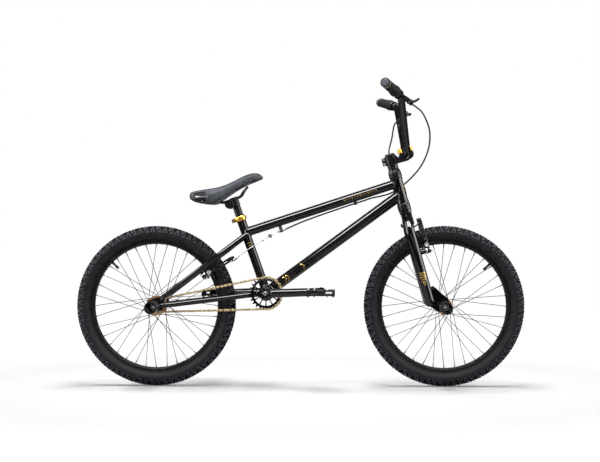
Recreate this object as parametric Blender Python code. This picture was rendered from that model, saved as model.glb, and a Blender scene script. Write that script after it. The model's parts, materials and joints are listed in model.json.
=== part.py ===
"""Twenty-inch BMX bike, built as separate pieces on their joints.

World frame: metres, X forward, Y to the rider's left, Z up.  The origin is on the ground halfway
between the axles.  The chain runs on the right side (negative Y).
"""
import math

import bmesh
import bpy
from mathutils import Matrix, Vector

# ------------------------------------------------------------------ driving dimensions
GAP = 0.0003                      # clearance between touching pieces
WHEELBASE = 0.9134
TYRE_RADIUS = 0.254
RIM_RADIUS = 0.209                # outer edge of the rim wall
RIM_INNER_RADIUS = 0.196
RIM_HALF_WIDTH = 0.0142
TYRE_HALF_WIDTH = 0.0245
WHEEL_SIDES = 32

FRONT_AXLE = Vector((WHEELBASE / 2, 0, TYRE_RADIUS))
REAR_AXLE = Vector((-WHEELBASE / 2, 0, TYRE_RADIUS))
BOTTOM_BRACKET = Vector((-0.1051, 0, 0.2956))

HEAD_ANGLE = math.radians(74.4)
SEAT_ANGLE = math.radians(70.6)
HEAD_CENTRE = Vector((0.3170, 0, 0.6182))

HEAD_TUBE_RADIUS = 0.0185
HEAD_BORE = 0.0168
STEERER_RADIUS = 0.0143
STEERER_BORE = 0.0110
LEG_RADIUS = 0.0159
LEG_OFFSET = 0.052                # fork leg to the centre plane
LEG_SETBACK = -0.005              # fork leg behind the steering axis
DOWN_TUBE_RADIUS = 0.0175
TOP_TUBE_RADIUS = 0.0148
SEAT_TUBE_RADIUS = 0.0143
SEAT_TUBE_LENGTH = 0.258
SEAT_POST_RADIUS = 0.0127
STAY_RADIUS = 0.0092
WALL = 0.0018                     # wall of the frame and fork tubes
SHELL_HALF_WIDTH = 0.034
SHELL_RADIUS = 0.0245
SHELL_BORE = 0.0208

FRONT_DROPOUT = (0.0503, 0.0560)  # inner and outer face, from the centre plane
REAR_DROPOUT = (0.0551, 0.0605)
AXLE_RADIUS = 0.0070
PEG_RADIUS = 0.0190
PEG_END = 0.160

CHAIN_PITCH = 0.0127
CHAINRING_TEETH = 25
DRIVER_TEETH = 9
CHAIN_LINE = -0.042
CHAIN_HALF_WIDTH = 0.0045
SPROCKET_HALF_THICKNESS = 0.0014
CRANK_LENGTH = 0.175
CRANK_ANGLE = math.radians(2.0)   # right arm points forward, its pedal this much up
CRANK_ARM_OFFSET = 0.0735
CRANK_ARM_RADIUS = 0.0140
SPINDLE_RADIUS = 0.0095

BAR_RADIUS = 0.0111
BAR_BORE = 0.0081
BAR_CLAMP = (0.1002, 0.0507)      # bar centre: up the steering axis, and forward of it
BAR_LOWER_BEND = Vector((0.3389, 0.062, 0.7283))
BAR_UPPER_BEND = Vector((0.3145, 0.200, 0.9010))
BAR_END = Vector((0.2620, 0.355, 0.9290))
GRIP_LENGTH = 0.130

SPOKES = 36
SPOKE_CROSSINGS = 3
SPOKE_RADIUS = 0.0010

LEFT, RIGHT = 1, -1
SIDE_NAMES = {LEFT: "left", RIGHT: "right"}
X_AXIS = Vector((1, 0, 0))
Y_AXIS = Vector((0, 1, 0))
Z_AXIS = Vector((0, 0, 1))

STEER_UP = Vector((-math.cos(HEAD_ANGLE), 0, math.sin(HEAD_ANGLE)))
STEER_FORWARD = Vector((math.sin(HEAD_ANGLE), 0, math.cos(HEAD_ANGLE)))
SEAT_UP = Vector((-math.cos(SEAT_ANGLE), 0, math.sin(SEAT_ANGLE)))
SEAT_FORWARD = Vector((math.sin(SEAT_ANGLE), 0, math.cos(SEAT_ANGLE)))

# name: (colour, roughness, metallic)
FINISHES = {
    "gloss_black": ((0.008, 0.008, 0.009), 0.15, 0.0),
    "satin_black": ((0.015, 0.015, 0.017), 0.40, 0.3),
    "gold": ((0.75, 0.47, 0.10), 0.28, 1.0),
    "steel": ((0.55, 0.55, 0.56), 0.30, 1.0),
    "chain": ((0.62, 0.54, 0.38), 0.35, 1.0),
    "hub": ((0.45, 0.28, 0.18), 0.30, 1.0),
    "tyre": ((0.020, 0.021, 0.024), 0.85, 0.0),
    "rim": ((0.010, 0.010, 0.011), 0.35, 0.2),
    "grip": ((0.020, 0.023, 0.026), 0.80, 0.0),
    "saddle": ((0.030, 0.032, 0.040), 0.55, 0.0),
    "cable": ((0.010, 0.010, 0.011), 0.45, 0.0),
    "pad": ((0.018, 0.018, 0.018), 0.90, 0.0),
}


# ------------------------------------------------------------------ places on the bike
def steer(up, forward=0.0, side=0.0):
    """A point given along and ahead of the steering axis."""
    return HEAD_CENTRE + up * STEER_UP + forward * STEER_FORWARD + side * Y_AXIS


def seat(up, forward=0.0, side=0.0):
    """A point given along and ahead of the seat tube, from the bottom bracket."""
    return BOTTOM_BRACKET + up * SEAT_UP + forward * SEAT_FORWARD + side * Y_AXIS


def mirrored(point, side):
    """A point given for the left side, on the side asked for."""
    return Vector((point[0], side * point[1], point[2]))


def crank_end(side):
    """Where the pedal axle crosses the middle of the crank arm."""
    reach = -side * CRANK_LENGTH
    offset = Vector((math.cos(CRANK_ANGLE), 0, math.sin(CRANK_ANGLE))) * reach
    return BOTTOM_BRACKET + offset + Y_AXIS * side * CRANK_ARM_OFFSET


TOP_TUBE = (Vector((-0.175, 0, 0.486)), steer(0.0262))
DOWN_TUBE = (BOTTOM_BRACKET, steer(-0.0113))
TOP_TUBE_WAY = (TOP_TUBE[1] - TOP_TUBE[0]).normalized()
TOP_TUBE_UNDER = Vector((TOP_TUBE_WAY.z, 0, -TOP_TUBE_WAY.x))


def below_top_tube(x, drop, side=0.0):
    """A point under the top tube, the drop measured square to the tube from its axis."""
    along = (x - TOP_TUBE[0].x - drop * TOP_TUBE_UNDER.x) / TOP_TUBE_WAY.x
    return TOP_TUBE[0] + along * TOP_TUBE_WAY + drop * TOP_TUBE_UNDER + side * Y_AXIS


# ------------------------------------------------------------------ modelling tools
def clear_scene():
    for obj in list(bpy.data.objects):
        bpy.data.objects.remove(obj, do_unlink=True)


def make_material(name):
    colour, roughness, metallic = FINISHES[name]
    material = bpy.data.materials.get(name) or bpy.data.materials.new(name)
    material.use_nodes = True
    shader = material.node_tree.nodes["Principled BSDF"]
    shader.inputs["Base Color"].default_value = (*colour, 1)
    shader.inputs["Roughness"].default_value = roughness
    shader.inputs["Metallic"].default_value = metallic
    return material


def add_object(name, bm, finish):
    bmesh.ops.recalc_face_normals(bm, faces=bm.faces)
    mesh = bpy.data.meshes.new(name)
    bm.to_mesh(mesh)
    bm.free()
    obj = bpy.data.objects.new(name, mesh)
    obj.data.materials.append(make_material(finish))
    bpy.context.scene.collection.objects.link(obj)
    return obj


def loft(name, loops, finish, closed=False):
    """Skin a row of loops that have the same number of points; open ends are capped."""
    bm = bmesh.new()
    rings = [[bm.verts.new(point) for point in loop] for loop in loops]
    count = len(loops[0])
    pairs = list(zip(rings, rings[1:]))
    if closed:
        pairs.append((rings[-1], rings[0]))
    for first, second in pairs:
        for i in range(count):
            j = (i + 1) % count
            bm.faces.new((first[i], first[j], second[j], second[i]))
    if not closed:
        bm.faces.new(rings[0][::-1])
        bm.faces.new(rings[-1])
    return add_object(name, bm, finish)


def cross_axes(axis):
    """Two unit vectors square to an axis; the first stays as level as it can."""
    hint = Y_AXIS if abs(axis.dot(Y_AXIS)) < 0.9 else Z_AXIS
    first = (hint - hint.dot(axis) * axis).normalized()
    return first, axis.cross(first)


def circle(centre, first, second, radius, sides, phase=0.0):
    step = 2 * math.pi / sides
    return [centre + radius * (math.cos(phase + i * step) * first + math.sin(phase + i * step) * second)
            for i in range(sides)]


def turned(name, origin, axis, stations, finish, sides=16):
    """A solid turned shape: stations are (distance along the axis, radius)."""
    axis = Vector(axis).normalized()
    first, second = cross_axes(axis)
    loops = [circle(origin + along * axis, first, second, radius, sides) for along, radius in stations]
    return loft(name, loops, finish)


def rod(name, start, end, radius, finish, sides=12):
    axis = end - start
    return turned(name, start, axis, [(0, radius), (axis.length, radius)], finish, sides)


def ring(name, origin, axis, profile, finish, sides=24, phase=0.0):
    """A turned ring with a bore: the profile is a closed outline of (radius, distance along)."""
    axis = Vector(axis).normalized()
    first, second = cross_axes(axis)
    loops = []
    for i in range(sides):
        angle = phase + 2 * math.pi * i / sides
        out = math.cos(angle) * first + math.sin(angle) * second
        loops.append([origin + radius * out + along * axis for radius, along in profile])
    return loft(name, loops, finish, closed=True)


def rounded_path(corners, radius, steps=4):
    """A polyline whose inner corners are replaced by arcs of about the given radius."""
    path = [corners[0]]
    for before, corner, after in zip(corners, corners[1:], corners[2:]):
        back = (before - corner).normalized()
        ahead = (after - corner).normalized()
        turn = math.pi - back.angle(ahead)
        if turn < math.radians(1):
            path.append(corner)
            continue
        reach = min(radius * math.tan(turn / 2), 0.45 * (before - corner).length,
                    0.45 * (after - corner).length)
        for i in range(steps + 1):
            s = i / steps
            start = corner + back * reach
            end = corner + ahead * reach
            path.append((1 - s) ** 2 * start + 2 * s * (1 - s) * corner + s ** 2 * end)
    path.append(corners[-1])
    return path


def path_frames(path):
    """Tangent and two square vectors at each point, turned as little as possible."""
    tangents = []
    for i in range(len(path)):
        back = path[max(i - 1, 0)]
        ahead = path[min(i + 1, len(path) - 1)]
        tangents.append((ahead - back).normalized())
    first, second = cross_axes(tangents[0])
    frames = []
    for tangent in tangents:
        first = (first - first.dot(tangent) * tangent).normalized()
        second = tangent.cross(first)
        frames.append((tangent, first, second))
    return frames


def tube(name, path, radius, finish, sides=12, bore=None):
    """A bar swept along a path; with a bore it is a pipe that is open at both ends."""
    loops = []
    inner = []
    for point, (_, first, second) in zip(path, path_frames(path)):
        loops.append(circle(point, first, second, radius, sides))
        if bore:
            inner.append(circle(point, first, second, bore, sides))
    if not bore:
        return loft(name, loops, finish)
    return loft(name, loops + inner[::-1], finish, closed=True)


def prism(name, outline, depth, finish):
    """An outline of points, thickened by the depth vector."""
    depth = Vector(depth)
    return loft(name, [outline, [point + depth for point in outline]], finish)


def box(name, centre, axes, half_sizes, finish):
    """A block: half sizes are measured along the three axes from the centre."""
    a, b, c = (Vector(axis) * half for axis, half in zip(axes, half_sizes))
    outline = [centre - a - b - c, centre + a - b - c, centre + a + b - c, centre - a + b - c]
    return prism(name, outline, 2 * c, finish)


def combine(target, tools, operation="UNION", solver="EXACT"):
    """Apply a Boolean of each tool to the target, and remove the tools."""
    for tool in tools:
        modifier = target.modifiers.new("shape", "BOOLEAN")
        modifier.operation = operation
        modifier.solver = solver
        modifier.object = tool
        depsgraph = bpy.context.evaluated_depsgraph_get()
        mesh = bpy.data.meshes.new_from_object(target.evaluated_get(depsgraph))
        target.modifiers.clear()
        target.data = mesh
        bpy.data.objects.remove(tool, do_unlink=True)
    return target


def cut(target, tools, solver="EXACT"):
    return combine(target, tools, "DIFFERENCE", solver)


def smooth_route(points, spacing):
    """Evenly spaced points on a smooth curve through the route's own points."""
    dense = []
    padded = [2 * points[0] - points[1]] + points + [2 * points[-1] - points[-2]]
    for p0, p1, p2, p3 in zip(padded, padded[1:], padded[2:], padded[3:]):
        for i in range(24):
            s = i / 24
            dense.append(0.5 * ((2 * p1) + (p2 - p0) * s + (2 * p0 - 5 * p1 + 4 * p2 - p3) * s ** 2
                                + (3 * p1 - p0 - 3 * p2 + p3) * s ** 3))
    dense.append(points[-1])
    lengths = [0.0]
    for before, after in zip(dense, dense[1:]):
        lengths.append(lengths[-1] + (after - before).length)
    count = max(2, round(lengths[-1] / spacing))
    route = []
    index = 0
    for i in range(count + 1):
        wanted = lengths[-1] * i / count
        while index < len(dense) - 2 and lengths[index + 1] < wanted:
            index += 1
        share = (wanted - lengths[index]) / (lengths[index + 1] - lengths[index])
        route.append(dense[index].lerp(dense[index + 1], share))
    return route


def cable(name, points, diameter, finish):
    """A cable as a bevelled curve with filled caps."""
    curve = bpy.data.curves.new(name, "CURVE")
    curve.dimensions = "3D"
    curve.bevel_depth = diameter / 2
    curve.bevel_resolution = 2
    curve.use_fill_caps = True
    route = smooth_route(points, 4 * diameter)
    spline = curve.splines.new("POLY")
    spline.points.add(len(route) - 1)
    for target, point in zip(spline.points, route):
        target.co = (*point, 1)
    curve.materials.append(make_material(finish))
    obj = bpy.data.objects.new(name, curve)
    bpy.context.scene.collection.objects.link(obj)
    return obj


def body_axis(name, point, parent=None):
    """An empty on a joint's axis, which its moving pieces hang from."""
    empty = bpy.data.objects.new(name, None)
    bpy.context.scene.collection.objects.link(empty)
    empty.location = point
    if parent:
        empty.parent = parent
        empty.matrix_parent_inverse = Matrix.Translation(-Vector(parent["world"]))
    empty["world"] = tuple(point)
    return empty


def hang(pieces, empty):
    """Put each piece's origin on the empty's axis, and parent it there."""
    origin = Vector(empty["world"])
    for piece in pieces:
        piece.data.transform(Matrix.Translation(-origin))
        piece.location = origin
        piece.parent = empty
        piece.matrix_parent_inverse = Matrix.Translation(-origin)
        if piece.type == "MESH":
            piece.data.shade_smooth()
            piece.data.set_sharp_from_angle(angle=math.radians(35))


# ------------------------------------------------------------------ brakes
# An arm's own directions: along the arm, out along its pivot, and sideways.
PIVOT_TO_SIDE = 0.042
PIVOT_RADIUS_ON_WHEEL = 0.184
ARM_LENGTH = 0.1000
PAD_HEIGHT = 0.0187
PIN_RADIUS = 0.0042
BRAKES = {
    "front": (steer(-0.2037, 0.0343), STEER_UP, STEER_FORWARD),
    "rear": (REAR_AXLE + PIVOT_RADIUS_ON_WHEEL * Vector((0.848, 0, 0.530)),
             Vector((0.848, 0, 0.530)), Vector((0.530, 0, -0.848))),
}


def brake_point(end, along, out, side):
    pivot, arm_way, pin_way = BRAKES[end]
    return pivot + along * arm_way + out * pin_way + side * Y_AXIS


def brake_boss(end, side, root_out):
    """The stud that an arm turns on, from inside its tube to past the arm."""
    base = brake_point(end, 0, root_out, side * PIVOT_TO_SIDE)
    pin_way = BRAKES[end][2]
    shoulder = -0.0075 - root_out
    tip = 0.0095 - root_out
    return turned("boss", base, pin_way,
                  [(0, 0.0075), (shoulder, 0.0075), (shoulder, PIN_RADIUS), (tip, PIN_RADIUS)],
                  "gloss_black", 12)


def make_brake_arm(end, side):
    name = f"{end}_brake_{SIDE_NAMES[side]}_arm"
    pin_way = BRAKES[end][2]
    outline = [(-0.002, 0.0365), (0.035, 0.0360), (ARM_LENGTH, 0.0395), (ARM_LENGTH + 0.004, 0.0415),
               (ARM_LENGTH + 0.004, 0.0455), (ARM_LENGTH, 0.0480), (0.035, 0.0485), (-0.002, 0.0475)]
    points = [brake_point(end, along, -0.0050, side * y) for along, y in outline]
    arm = prism(name, points, 0.0100 * pin_way, "satin_black")
    barrel = rod("barrel", brake_point(end, 0, -0.0070, side * PIVOT_TO_SIDE),
                 brake_point(end, 0, 0.0070, side * PIVOT_TO_SIDE), 0.0085, "satin_black", 16)
    bore = rod("bore", brake_point(end, 0, -0.010, side * PIVOT_TO_SIDE),
               brake_point(end, 0, 0.010, side * PIVOT_TO_SIDE), PIN_RADIUS + 0.0005, "satin_black", 16)
    combine(arm, [barrel])
    return cut(arm, [bore])


def make_brake_pad(end, side):
    """The rubber block on its holder, with the stud that reaches the arm."""
    name = f"{end}_brake_{SIDE_NAMES[side]}_pad"
    arm_way, pin_way = BRAKES[end][1:]
    centre = brake_point(end, PAD_HEIGHT, 0.0, side * 0.0207)
    pad = box(name, centre, (pin_way, arm_way, Y_AXIS), (0.0250, 0.0045, 0.0050), "pad")
    stud = rod("stud", brake_point(end, PAD_HEIGHT, 0, side * 0.024),
               brake_point(end, PAD_HEIGHT, 0, side * (0.0360 - GAP)), 0.0035, "steel", 10)
    return combine(pad, [stud])


# ------------------------------------------------------------------ frame
SEATSTAY_CORNERS = ((-0.1690, 0.009, 0.4800), (-0.244, 0.0385, 0.4229), (-0.3250, 0.0470, 0.3615),
                    (-0.4405, 0.0575, 0.2740))
CHAINSTAY_CORNERS = ((-0.1051, 0.020, 0.2950), (-0.165, 0.029, 0.2890), (-0.225, 0.041, 0.2815),
                     (-0.400, 0.0575, 0.2605), (-0.435, 0.0575, 0.2570))
REAR_PLATE = ((-0.4775, 0.2380), (-0.4560, 0.2340), (-0.4330, 0.2440), (-0.4240, 0.2560),
              (-0.4280, 0.2740), (-0.4400, 0.2840), (-0.4560, 0.2790), (-0.4790, 0.2690))
HOUSING_RADIUS = 0.0025
HOUSING_DROP = TOP_TUBE_RADIUS + 0.0050
GUIDE_X = 0.177
STOP_X = -0.0526
STOP_DROP = 0.0300


def stay_paths(side):
    seat_stay = rounded_path([mirrored(point, side) for point in SEATSTAY_CORNERS], 0.12, 1)
    chain_stay = rounded_path([mirrored(point, side) for point in CHAINSTAY_CORNERS], 0.10, 1)
    return seat_stay, chain_stay


def rear_dropout(side):
    inner, outer = REAR_DROPOUT
    outline = [Vector((x, side * inner, z)) for x, z in REAR_PLATE]
    return prism("dropout", outline, (0, side * (outer - inner), 0), "gloss_black")


def axle_slot(axle, faces, way, reach, side):
    """A cutter for a dropout slot, which runs from the axle the way given."""
    inner, outer = faces
    half = AXLE_RADIUS + 0.00040
    across = way.cross(Y_AXIS)
    base = Vector((axle.x, side * (inner - 0.004), axle.z))
    arc = [base + half * (math.cos(a) * across - math.sin(a) * way)
           for a in (math.pi * i / 8 for i in range(9))]
    outline = arc + [base + reach * way - half * across, base + reach * way + half * across]
    return prism("slot", outline, (0, side * (outer - inner + 0.008), 0), "gloss_black")


def cable_guide(x, length, drop):
    """A peg from the top tube down past the housing's line."""
    root, tip = TOP_TUBE_RADIUS - 0.0012, drop + 0.0048
    centre = below_top_tube(x, drop) - (drop - (root + tip) / 2) * TOP_TUBE_UNDER
    half_sizes = (length / 2, 0.0045, (tip - root) / 2)
    return box("guide", centre, (TOP_TUBE_WAY, Y_AXIS, TOP_TUBE_UNDER), half_sizes, "gloss_black")


def make_frame():
    head_tube = rod("frame", steer(-0.0400), steer(0.0412), HEAD_TUBE_RADIUS, "gloss_black", 20)
    seat_top = seat(SEAT_TUBE_LENGTH)
    solids = [
        rod("shell", BOTTOM_BRACKET - Y_AXIS * SHELL_HALF_WIDTH, BOTTOM_BRACKET + Y_AXIS * SHELL_HALF_WIDTH,
            SHELL_RADIUS, "gloss_black", 20),
        rod("seat_tube", BOTTOM_BRACKET, seat_top, SEAT_TUBE_RADIUS, "gloss_black", 14),
        rod("top_tube", *TOP_TUBE, TOP_TUBE_RADIUS, "gloss_black", 14),
        rod("down_tube", *DOWN_TUBE, DOWN_TUBE_RADIUS, "gloss_black", 14),
        cable_guide(GUIDE_X, 0.010, HOUSING_DROP),
        cable_guide(STOP_X - 0.0055, 0.010, STOP_DROP),
    ]
    bores = [
        rod("bore", steer(-0.050), steer(0.050), HEAD_BORE, "gloss_black", 20),
        rod("bore", BOTTOM_BRACKET - Y_AXIS * 0.04, BOTTOM_BRACKET + Y_AXIS * 0.04, SHELL_BORE,
            "gloss_black", 20),
        rod("bore", BOTTOM_BRACKET, seat(SEAT_TUBE_LENGTH + 0.01), SEAT_POST_RADIUS + 0.0004,
            "gloss_black", 14),
        rod("bore", *TOP_TUBE, TOP_TUBE_RADIUS - WALL, "gloss_black", 10),
        rod("bore", *DOWN_TUBE, DOWN_TUBE_RADIUS - WALL, "gloss_black", 10),
        rod("bore", below_top_tube(GUIDE_X - 0.01, HOUSING_DROP),
            below_top_tube(GUIDE_X + 0.01, HOUSING_DROP),
            HOUSING_RADIUS + 0.0006, "gloss_black", 12),
        rod("bore", below_top_tube(STOP_X - 0.02, STOP_DROP), below_top_tube(STOP_X + 0.01, STOP_DROP),
            0.0016, "gloss_black", 8),
    ]
    for side in (LEFT, RIGHT):
        seat_stay, chain_stay = stay_paths(side)
        solids.append(tube("stay", seat_stay, STAY_RADIUS, "gloss_black", 10))
        solids.append(tube("stay", chain_stay, STAY_RADIUS, "gloss_black", 10))
        solids.append(rear_dropout(side))
        solids.append(brake_boss("rear", side, -0.0220))
        bores.append(tube("bore", seat_stay[:-1], STAY_RADIUS - WALL, "gloss_black", 6))
        bores.append(tube("bore", chain_stay[:-1], STAY_RADIUS - WALL, "gloss_black", 6))
        bores.append(axle_slot(REAR_AXLE, REAR_DROPOUT, -X_AXIS, 0.05, side))
    solids.append(rod("bridge", Vector((-0.196, -0.022, 0.4593)), Vector((-0.196, 0.022, 0.4593)),
                      0.0065, "gloss_black", 10))
    solids.append(rod("bridge", Vector((-0.172, -0.030, 0.2882)), Vector((-0.172, 0.030, 0.2882)),
                      0.0065, "gloss_black", 10))
    # EXACT leaves open edges where this many tubes meet
    frame = combine(head_tube, solids, solver="MANIFOLD")
    return cut(frame, bores, solver="MANIFOLD")


def headset_cup(name, shoulder, tip, way):
    """A pressed cup: a skirt inside the head tube and a bearing housing outside it."""
    skirt = shoulder - way * 0.0120
    bore = STEERER_RADIUS + 0.0007
    profile = [(bore, skirt), (HEAD_BORE - GAP, skirt), (HEAD_BORE - GAP, shoulder), (0.0190, shoulder),
               (0.0205, shoulder + way * 0.0040), (0.0205, tip), (bore, tip)]
    return ring(name, HEAD_CENTRE, STEER_UP, profile, "gloss_black", 18)


def make_seat_clamp():
    low, high = 0.2428, 0.2572
    inner = SEAT_TUBE_RADIUS + 0.0004
    clamp = ring("seat_clamp", BOTTOM_BRACKET, SEAT_UP,
                 [(inner, low), (0.0181, low), (0.0181, high), (inner, high)], "gold", 18)
    middle = (low + high) / 2
    ear = box("ear", seat(middle, -0.0230), (SEAT_FORWARD, Y_AXIS, SEAT_UP), (0.0065, 0.0075, 0.0060), "gold")
    slot = box("slot", seat(middle, -0.0240), (SEAT_FORWARD, Y_AXIS, SEAT_UP), (0.0115, 0.0011, 0.0100),
               "gold")
    hole = rod("hole", seat(middle, -0.0242, -0.012), seat(middle, -0.0242, 0.012), 0.0030, "gold", 12)
    combine(clamp, [ear])
    cut(clamp, [slot, hole])
    bolt = turned("seat_clamp_bolt", seat(middle, -0.0242), Y_AXIS,
                  [(-0.0125, 0.0042), (-0.0078, 0.0042), (-0.0078, 0.0025), (0.0078, 0.0025),
                   (0.0078, 0.0040), (0.0110, 0.0040)], "steel", 12)
    return [clamp, bolt]


def make_bearing(side):
    inner, outer = 0.0230, 0.0336
    bore = SPINDLE_RADIUS + 0.0005
    return ring(f"bottom_bracket_{SIDE_NAMES[side]}_bearing", BOTTOM_BRACKET, Y_AXIS * side,
                [(bore, inner), (SHELL_BORE - 0.0004, inner), (SHELL_BORE - 0.0004, outer), (bore, outer)],
                "steel", 18)


# ------------------------------------------------------------------ wheels and pegs
def make_axle(name, centre, faces, cone=0.0):
    """The axle with its two nuts; a cone fills the space beside the driver."""
    outer = faces[1]
    nut = outer + 0.0062
    stations = [(-outer - 0.022, AXLE_RADIUS), (-nut - 0.0095, AXLE_RADIUS), (-nut - 0.0095, 0.0108),
                (-nut, 0.0108), (-nut, AXLE_RADIUS)]
    if cone:
        stations += [(-faces[0] + GAP, AXLE_RADIUS), (-faces[0] + GAP, 0.0110), (-faces[0] + cone, 0.0110),
                     (-faces[0] + cone, AXLE_RADIUS)]
    stations += [(nut, AXLE_RADIUS), (nut, 0.0108), (nut + 0.0095, 0.0108), (nut + 0.0095, AXLE_RADIUS),
                 (outer + 0.022, AXLE_RADIUS)]
    return turned(name, centre, Y_AXIS, stations, "steel", 12)


def make_peg(name, centre, face, side):
    """A peg is a thick tube; its closed inner end is held under the axle nut."""
    start = face + GAP
    profile = [(0.0078, start), (PEG_RADIUS, start), (PEG_RADIUS, PEG_END), (0.0150, PEG_END),
               (0.0150, start + 0.0055), (0.0078, start + 0.0055)]
    return ring(name, centre, Y_AXIS * side, profile, "gloss_black", 16)


def wheel_ring(name, centre, section, finish):
    """A ring around the axle, with one flat side straight down."""
    grow = 1 / math.cos(math.pi / WHEEL_SIDES)
    profile = [(radius * grow, side) for radius, side in section]
    return ring(name, centre, Y_AXIS, profile, finish, WHEEL_SIDES, phase=math.pi / WHEEL_SIDES)


def make_rim(end, centre):
    wall = RIM_HALF_WIDTH
    half = [(RIM_INNER_RADIUS, 0.0095), (0.1985, wall), (RIM_RADIUS, wall), (RIM_RADIUS, wall - 0.0020),
            (0.2010, wall - 0.0032)]
    section = half + [(radius, -side) for radius, side in half[::-1]]
    return wheel_ring(f"{end}_rim", centre, section, "rim")


def make_tyre(end, centre):
    """A casing open towards the rim, with its beads between the rim walls."""
    wide = TYRE_HALF_WIDTH
    half = [(0.2490, 0.0090), (0.2290, 0.0212), (0.2035, 0.0070), (0.2035, 0.0103), (0.2096, 0.0118),
            (0.2270, wide), (0.2430, 0.0215), (TYRE_RADIUS, 0.0090)]
    section = half + [(radius, -side) for radius, side in half[::-1]]
    return wheel_ring(f"{end}_tyre", centre, section, "tyre")


def spoke_ends(index, flanges, flange_radius):
    """Where a spoke leaves its flange and where it meets the rim, around the axle."""
    side = 1 if index % 2 == 0 else -1
    leading = 1 if index % 4 < 2 else -1
    rim_angle = 2 * math.pi * (index + 0.5) / SPOKES
    lean = leading * SPOKE_CROSSINGS * 4 * math.pi / SPOKES
    hub_angle = rim_angle + lean
    flange = flanges[0] if side > 0 else flanges[1]
    hole = flange_radius - 0.0032
    start = Vector((hole * math.cos(hub_angle), flange + leading * 0.0014, hole * math.sin(hub_angle)))
    reach = RIM_INNER_RADIUS - 0.0006
    end = Vector((reach * math.cos(rim_angle), 0, reach * math.sin(rim_angle)))
    return start, end


def make_hub(end, centre, profile, flanges, flange_radius):
    """Hub shell with its spokes; a spoke stops just short of the rim."""
    hub = ring(f"{end}_hub", centre, Y_AXIS, profile, "hub", 14)
    spokes = []
    for index in range(SPOKES):
        start, finish_point = spoke_ends(index, flanges, flange_radius)
        spokes.append(rod("spoke", centre + start, centre + finish_point, SPOKE_RADIUS, "hub", 3))
    return combine(hub, spokes)


def front_hub_profile():
    bore = AXLE_RADIUS + 0.0007
    end = FRONT_DROPOUT[0] - 0.0006
    half = [(0.0110, end), (0.0110, 0.0400), (0.0145, 0.0385), (0.0260, 0.0362), (0.0260, 0.0328),
            (0.0160, 0.0300)]
    return [(bore, -end)] + [(r, -y) for r, y in half] + half[::-1] + [(bore, end)]


def rear_hub_profile():
    bore = AXLE_RADIUS + 0.0007
    end = REAR_DROPOUT[0] - 0.0006
    right = [(0.0180, -0.0305), (0.0305, -0.0300), (0.0305, -0.0262), (0.0190, -0.0235)]
    left = [(0.0180, 0.0325), (0.0305, 0.0350), (0.0305, 0.0388), (0.0160, 0.0410), (0.0120, 0.0440),
            (0.0120, end)]
    return [(bore, -0.0305)] + right + left + [(bore, end)]


# ------------------------------------------------------------------ drive train
def sprocket_outline(teeth, centre, y, phase):
    pitch_radius = CHAIN_PITCH / (2 * math.sin(math.pi / teeth))
    tip = pitch_radius + 0.0034
    root = pitch_radius - 0.0038
    outline = []
    for tooth in range(teeth):
        middle = phase + 2 * math.pi * tooth / teeth
        step = 2 * math.pi / teeth
        for share, radius in ((-0.30, root), (-0.09, tip), (0.09, tip), (0.30, root)):
            angle = middle + share * step
            outline.append(centre + Vector((radius * math.cos(angle), y, radius * math.sin(angle))))
    return outline


def make_chainring():
    """Toothed ring on twelve spokes around a solid middle."""
    near = CHAIN_LINE - SPROCKET_HALF_THICKNESS
    outline = sprocket_outline(CHAINRING_TEETH, BOTTOM_BRACKET, near, math.radians(3))
    chainring = prism("chainring", outline, (0, 2 * SPROCKET_HALF_THICKNESS, 0), "gloss_black")
    cutters = [rod("bore", BOTTOM_BRACKET + Y_AXIS * (near - 0.002), BOTTOM_BRACKET + Y_AXIS * (near + 0.006),
                   SPINDLE_RADIUS + 0.0004, "gloss_black", 16)]
    arms = 12
    for arm in range(arms):
        middle = 2 * math.pi * (arm + 0.5) / arms
        window = []
        for radius, arm_half_width, signs in ((0.0195, 0.0019, (-1, 1)), (0.0395, 0.0015, (1, 0, -1))):
            spread = math.pi / arms - math.asin(arm_half_width / radius)
            for sign in signs:
                angle = middle + sign * spread
                window.append(BOTTOM_BRACKET + Vector((radius * math.cos(angle), near - 0.002,
                                                       radius * math.sin(angle))))
        cutters.append(prism("window", window, (0, 0.008, 0), "gloss_black"))
    return cut(chainring, cutters)


def make_driver():
    outline = sprocket_outline(DRIVER_TEETH, REAR_AXLE, CHAIN_LINE - SPROCKET_HALF_THICKNESS, 0.0)
    cog = prism("rear_driver", outline, (0, 2 * SPROCKET_HALF_THICKNESS, 0), "steel")
    barrel = rod("barrel", REAR_AXLE - Y_AXIS * 0.0309, REAR_AXLE - Y_AXIS * 0.0500, 0.0130, "steel", 20)
    bore = rod("bore", REAR_AXLE - Y_AXIS * 0.0250, REAR_AXLE - Y_AXIS * 0.0600, 0.0081, "steel", 20)
    combine(cog, [barrel])
    return cut(cog, [bore])


def chain_stations():
    """Places and outward directions round the closed loop over both sprockets."""
    large = CHAIN_PITCH / (2 * math.sin(math.pi / CHAINRING_TEETH))
    small = CHAIN_PITCH / (2 * math.sin(math.pi / DRIVER_TEETH))
    across = BOTTOM_BRACKET - REAR_AXLE
    tilt = math.atan2(across.z, across.x)
    lean = math.acos((large - small) / across.length)
    stations = []
    for centre, radius, start, sweep, steps in (
            (BOTTOM_BRACKET, large, tilt - lean, 2 * lean, 12),
            (REAR_AXLE, small, tilt + lean, 2 * (math.pi - lean), 8)):
        for i in range(steps + 1):
            angle = start + sweep * i / steps
            out = Vector((math.cos(angle), 0, math.sin(angle)))
            stretch = 1 / math.cos(sweep / steps / 2)
            stations.append((centre, out, radius, stretch))
    return stations


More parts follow.
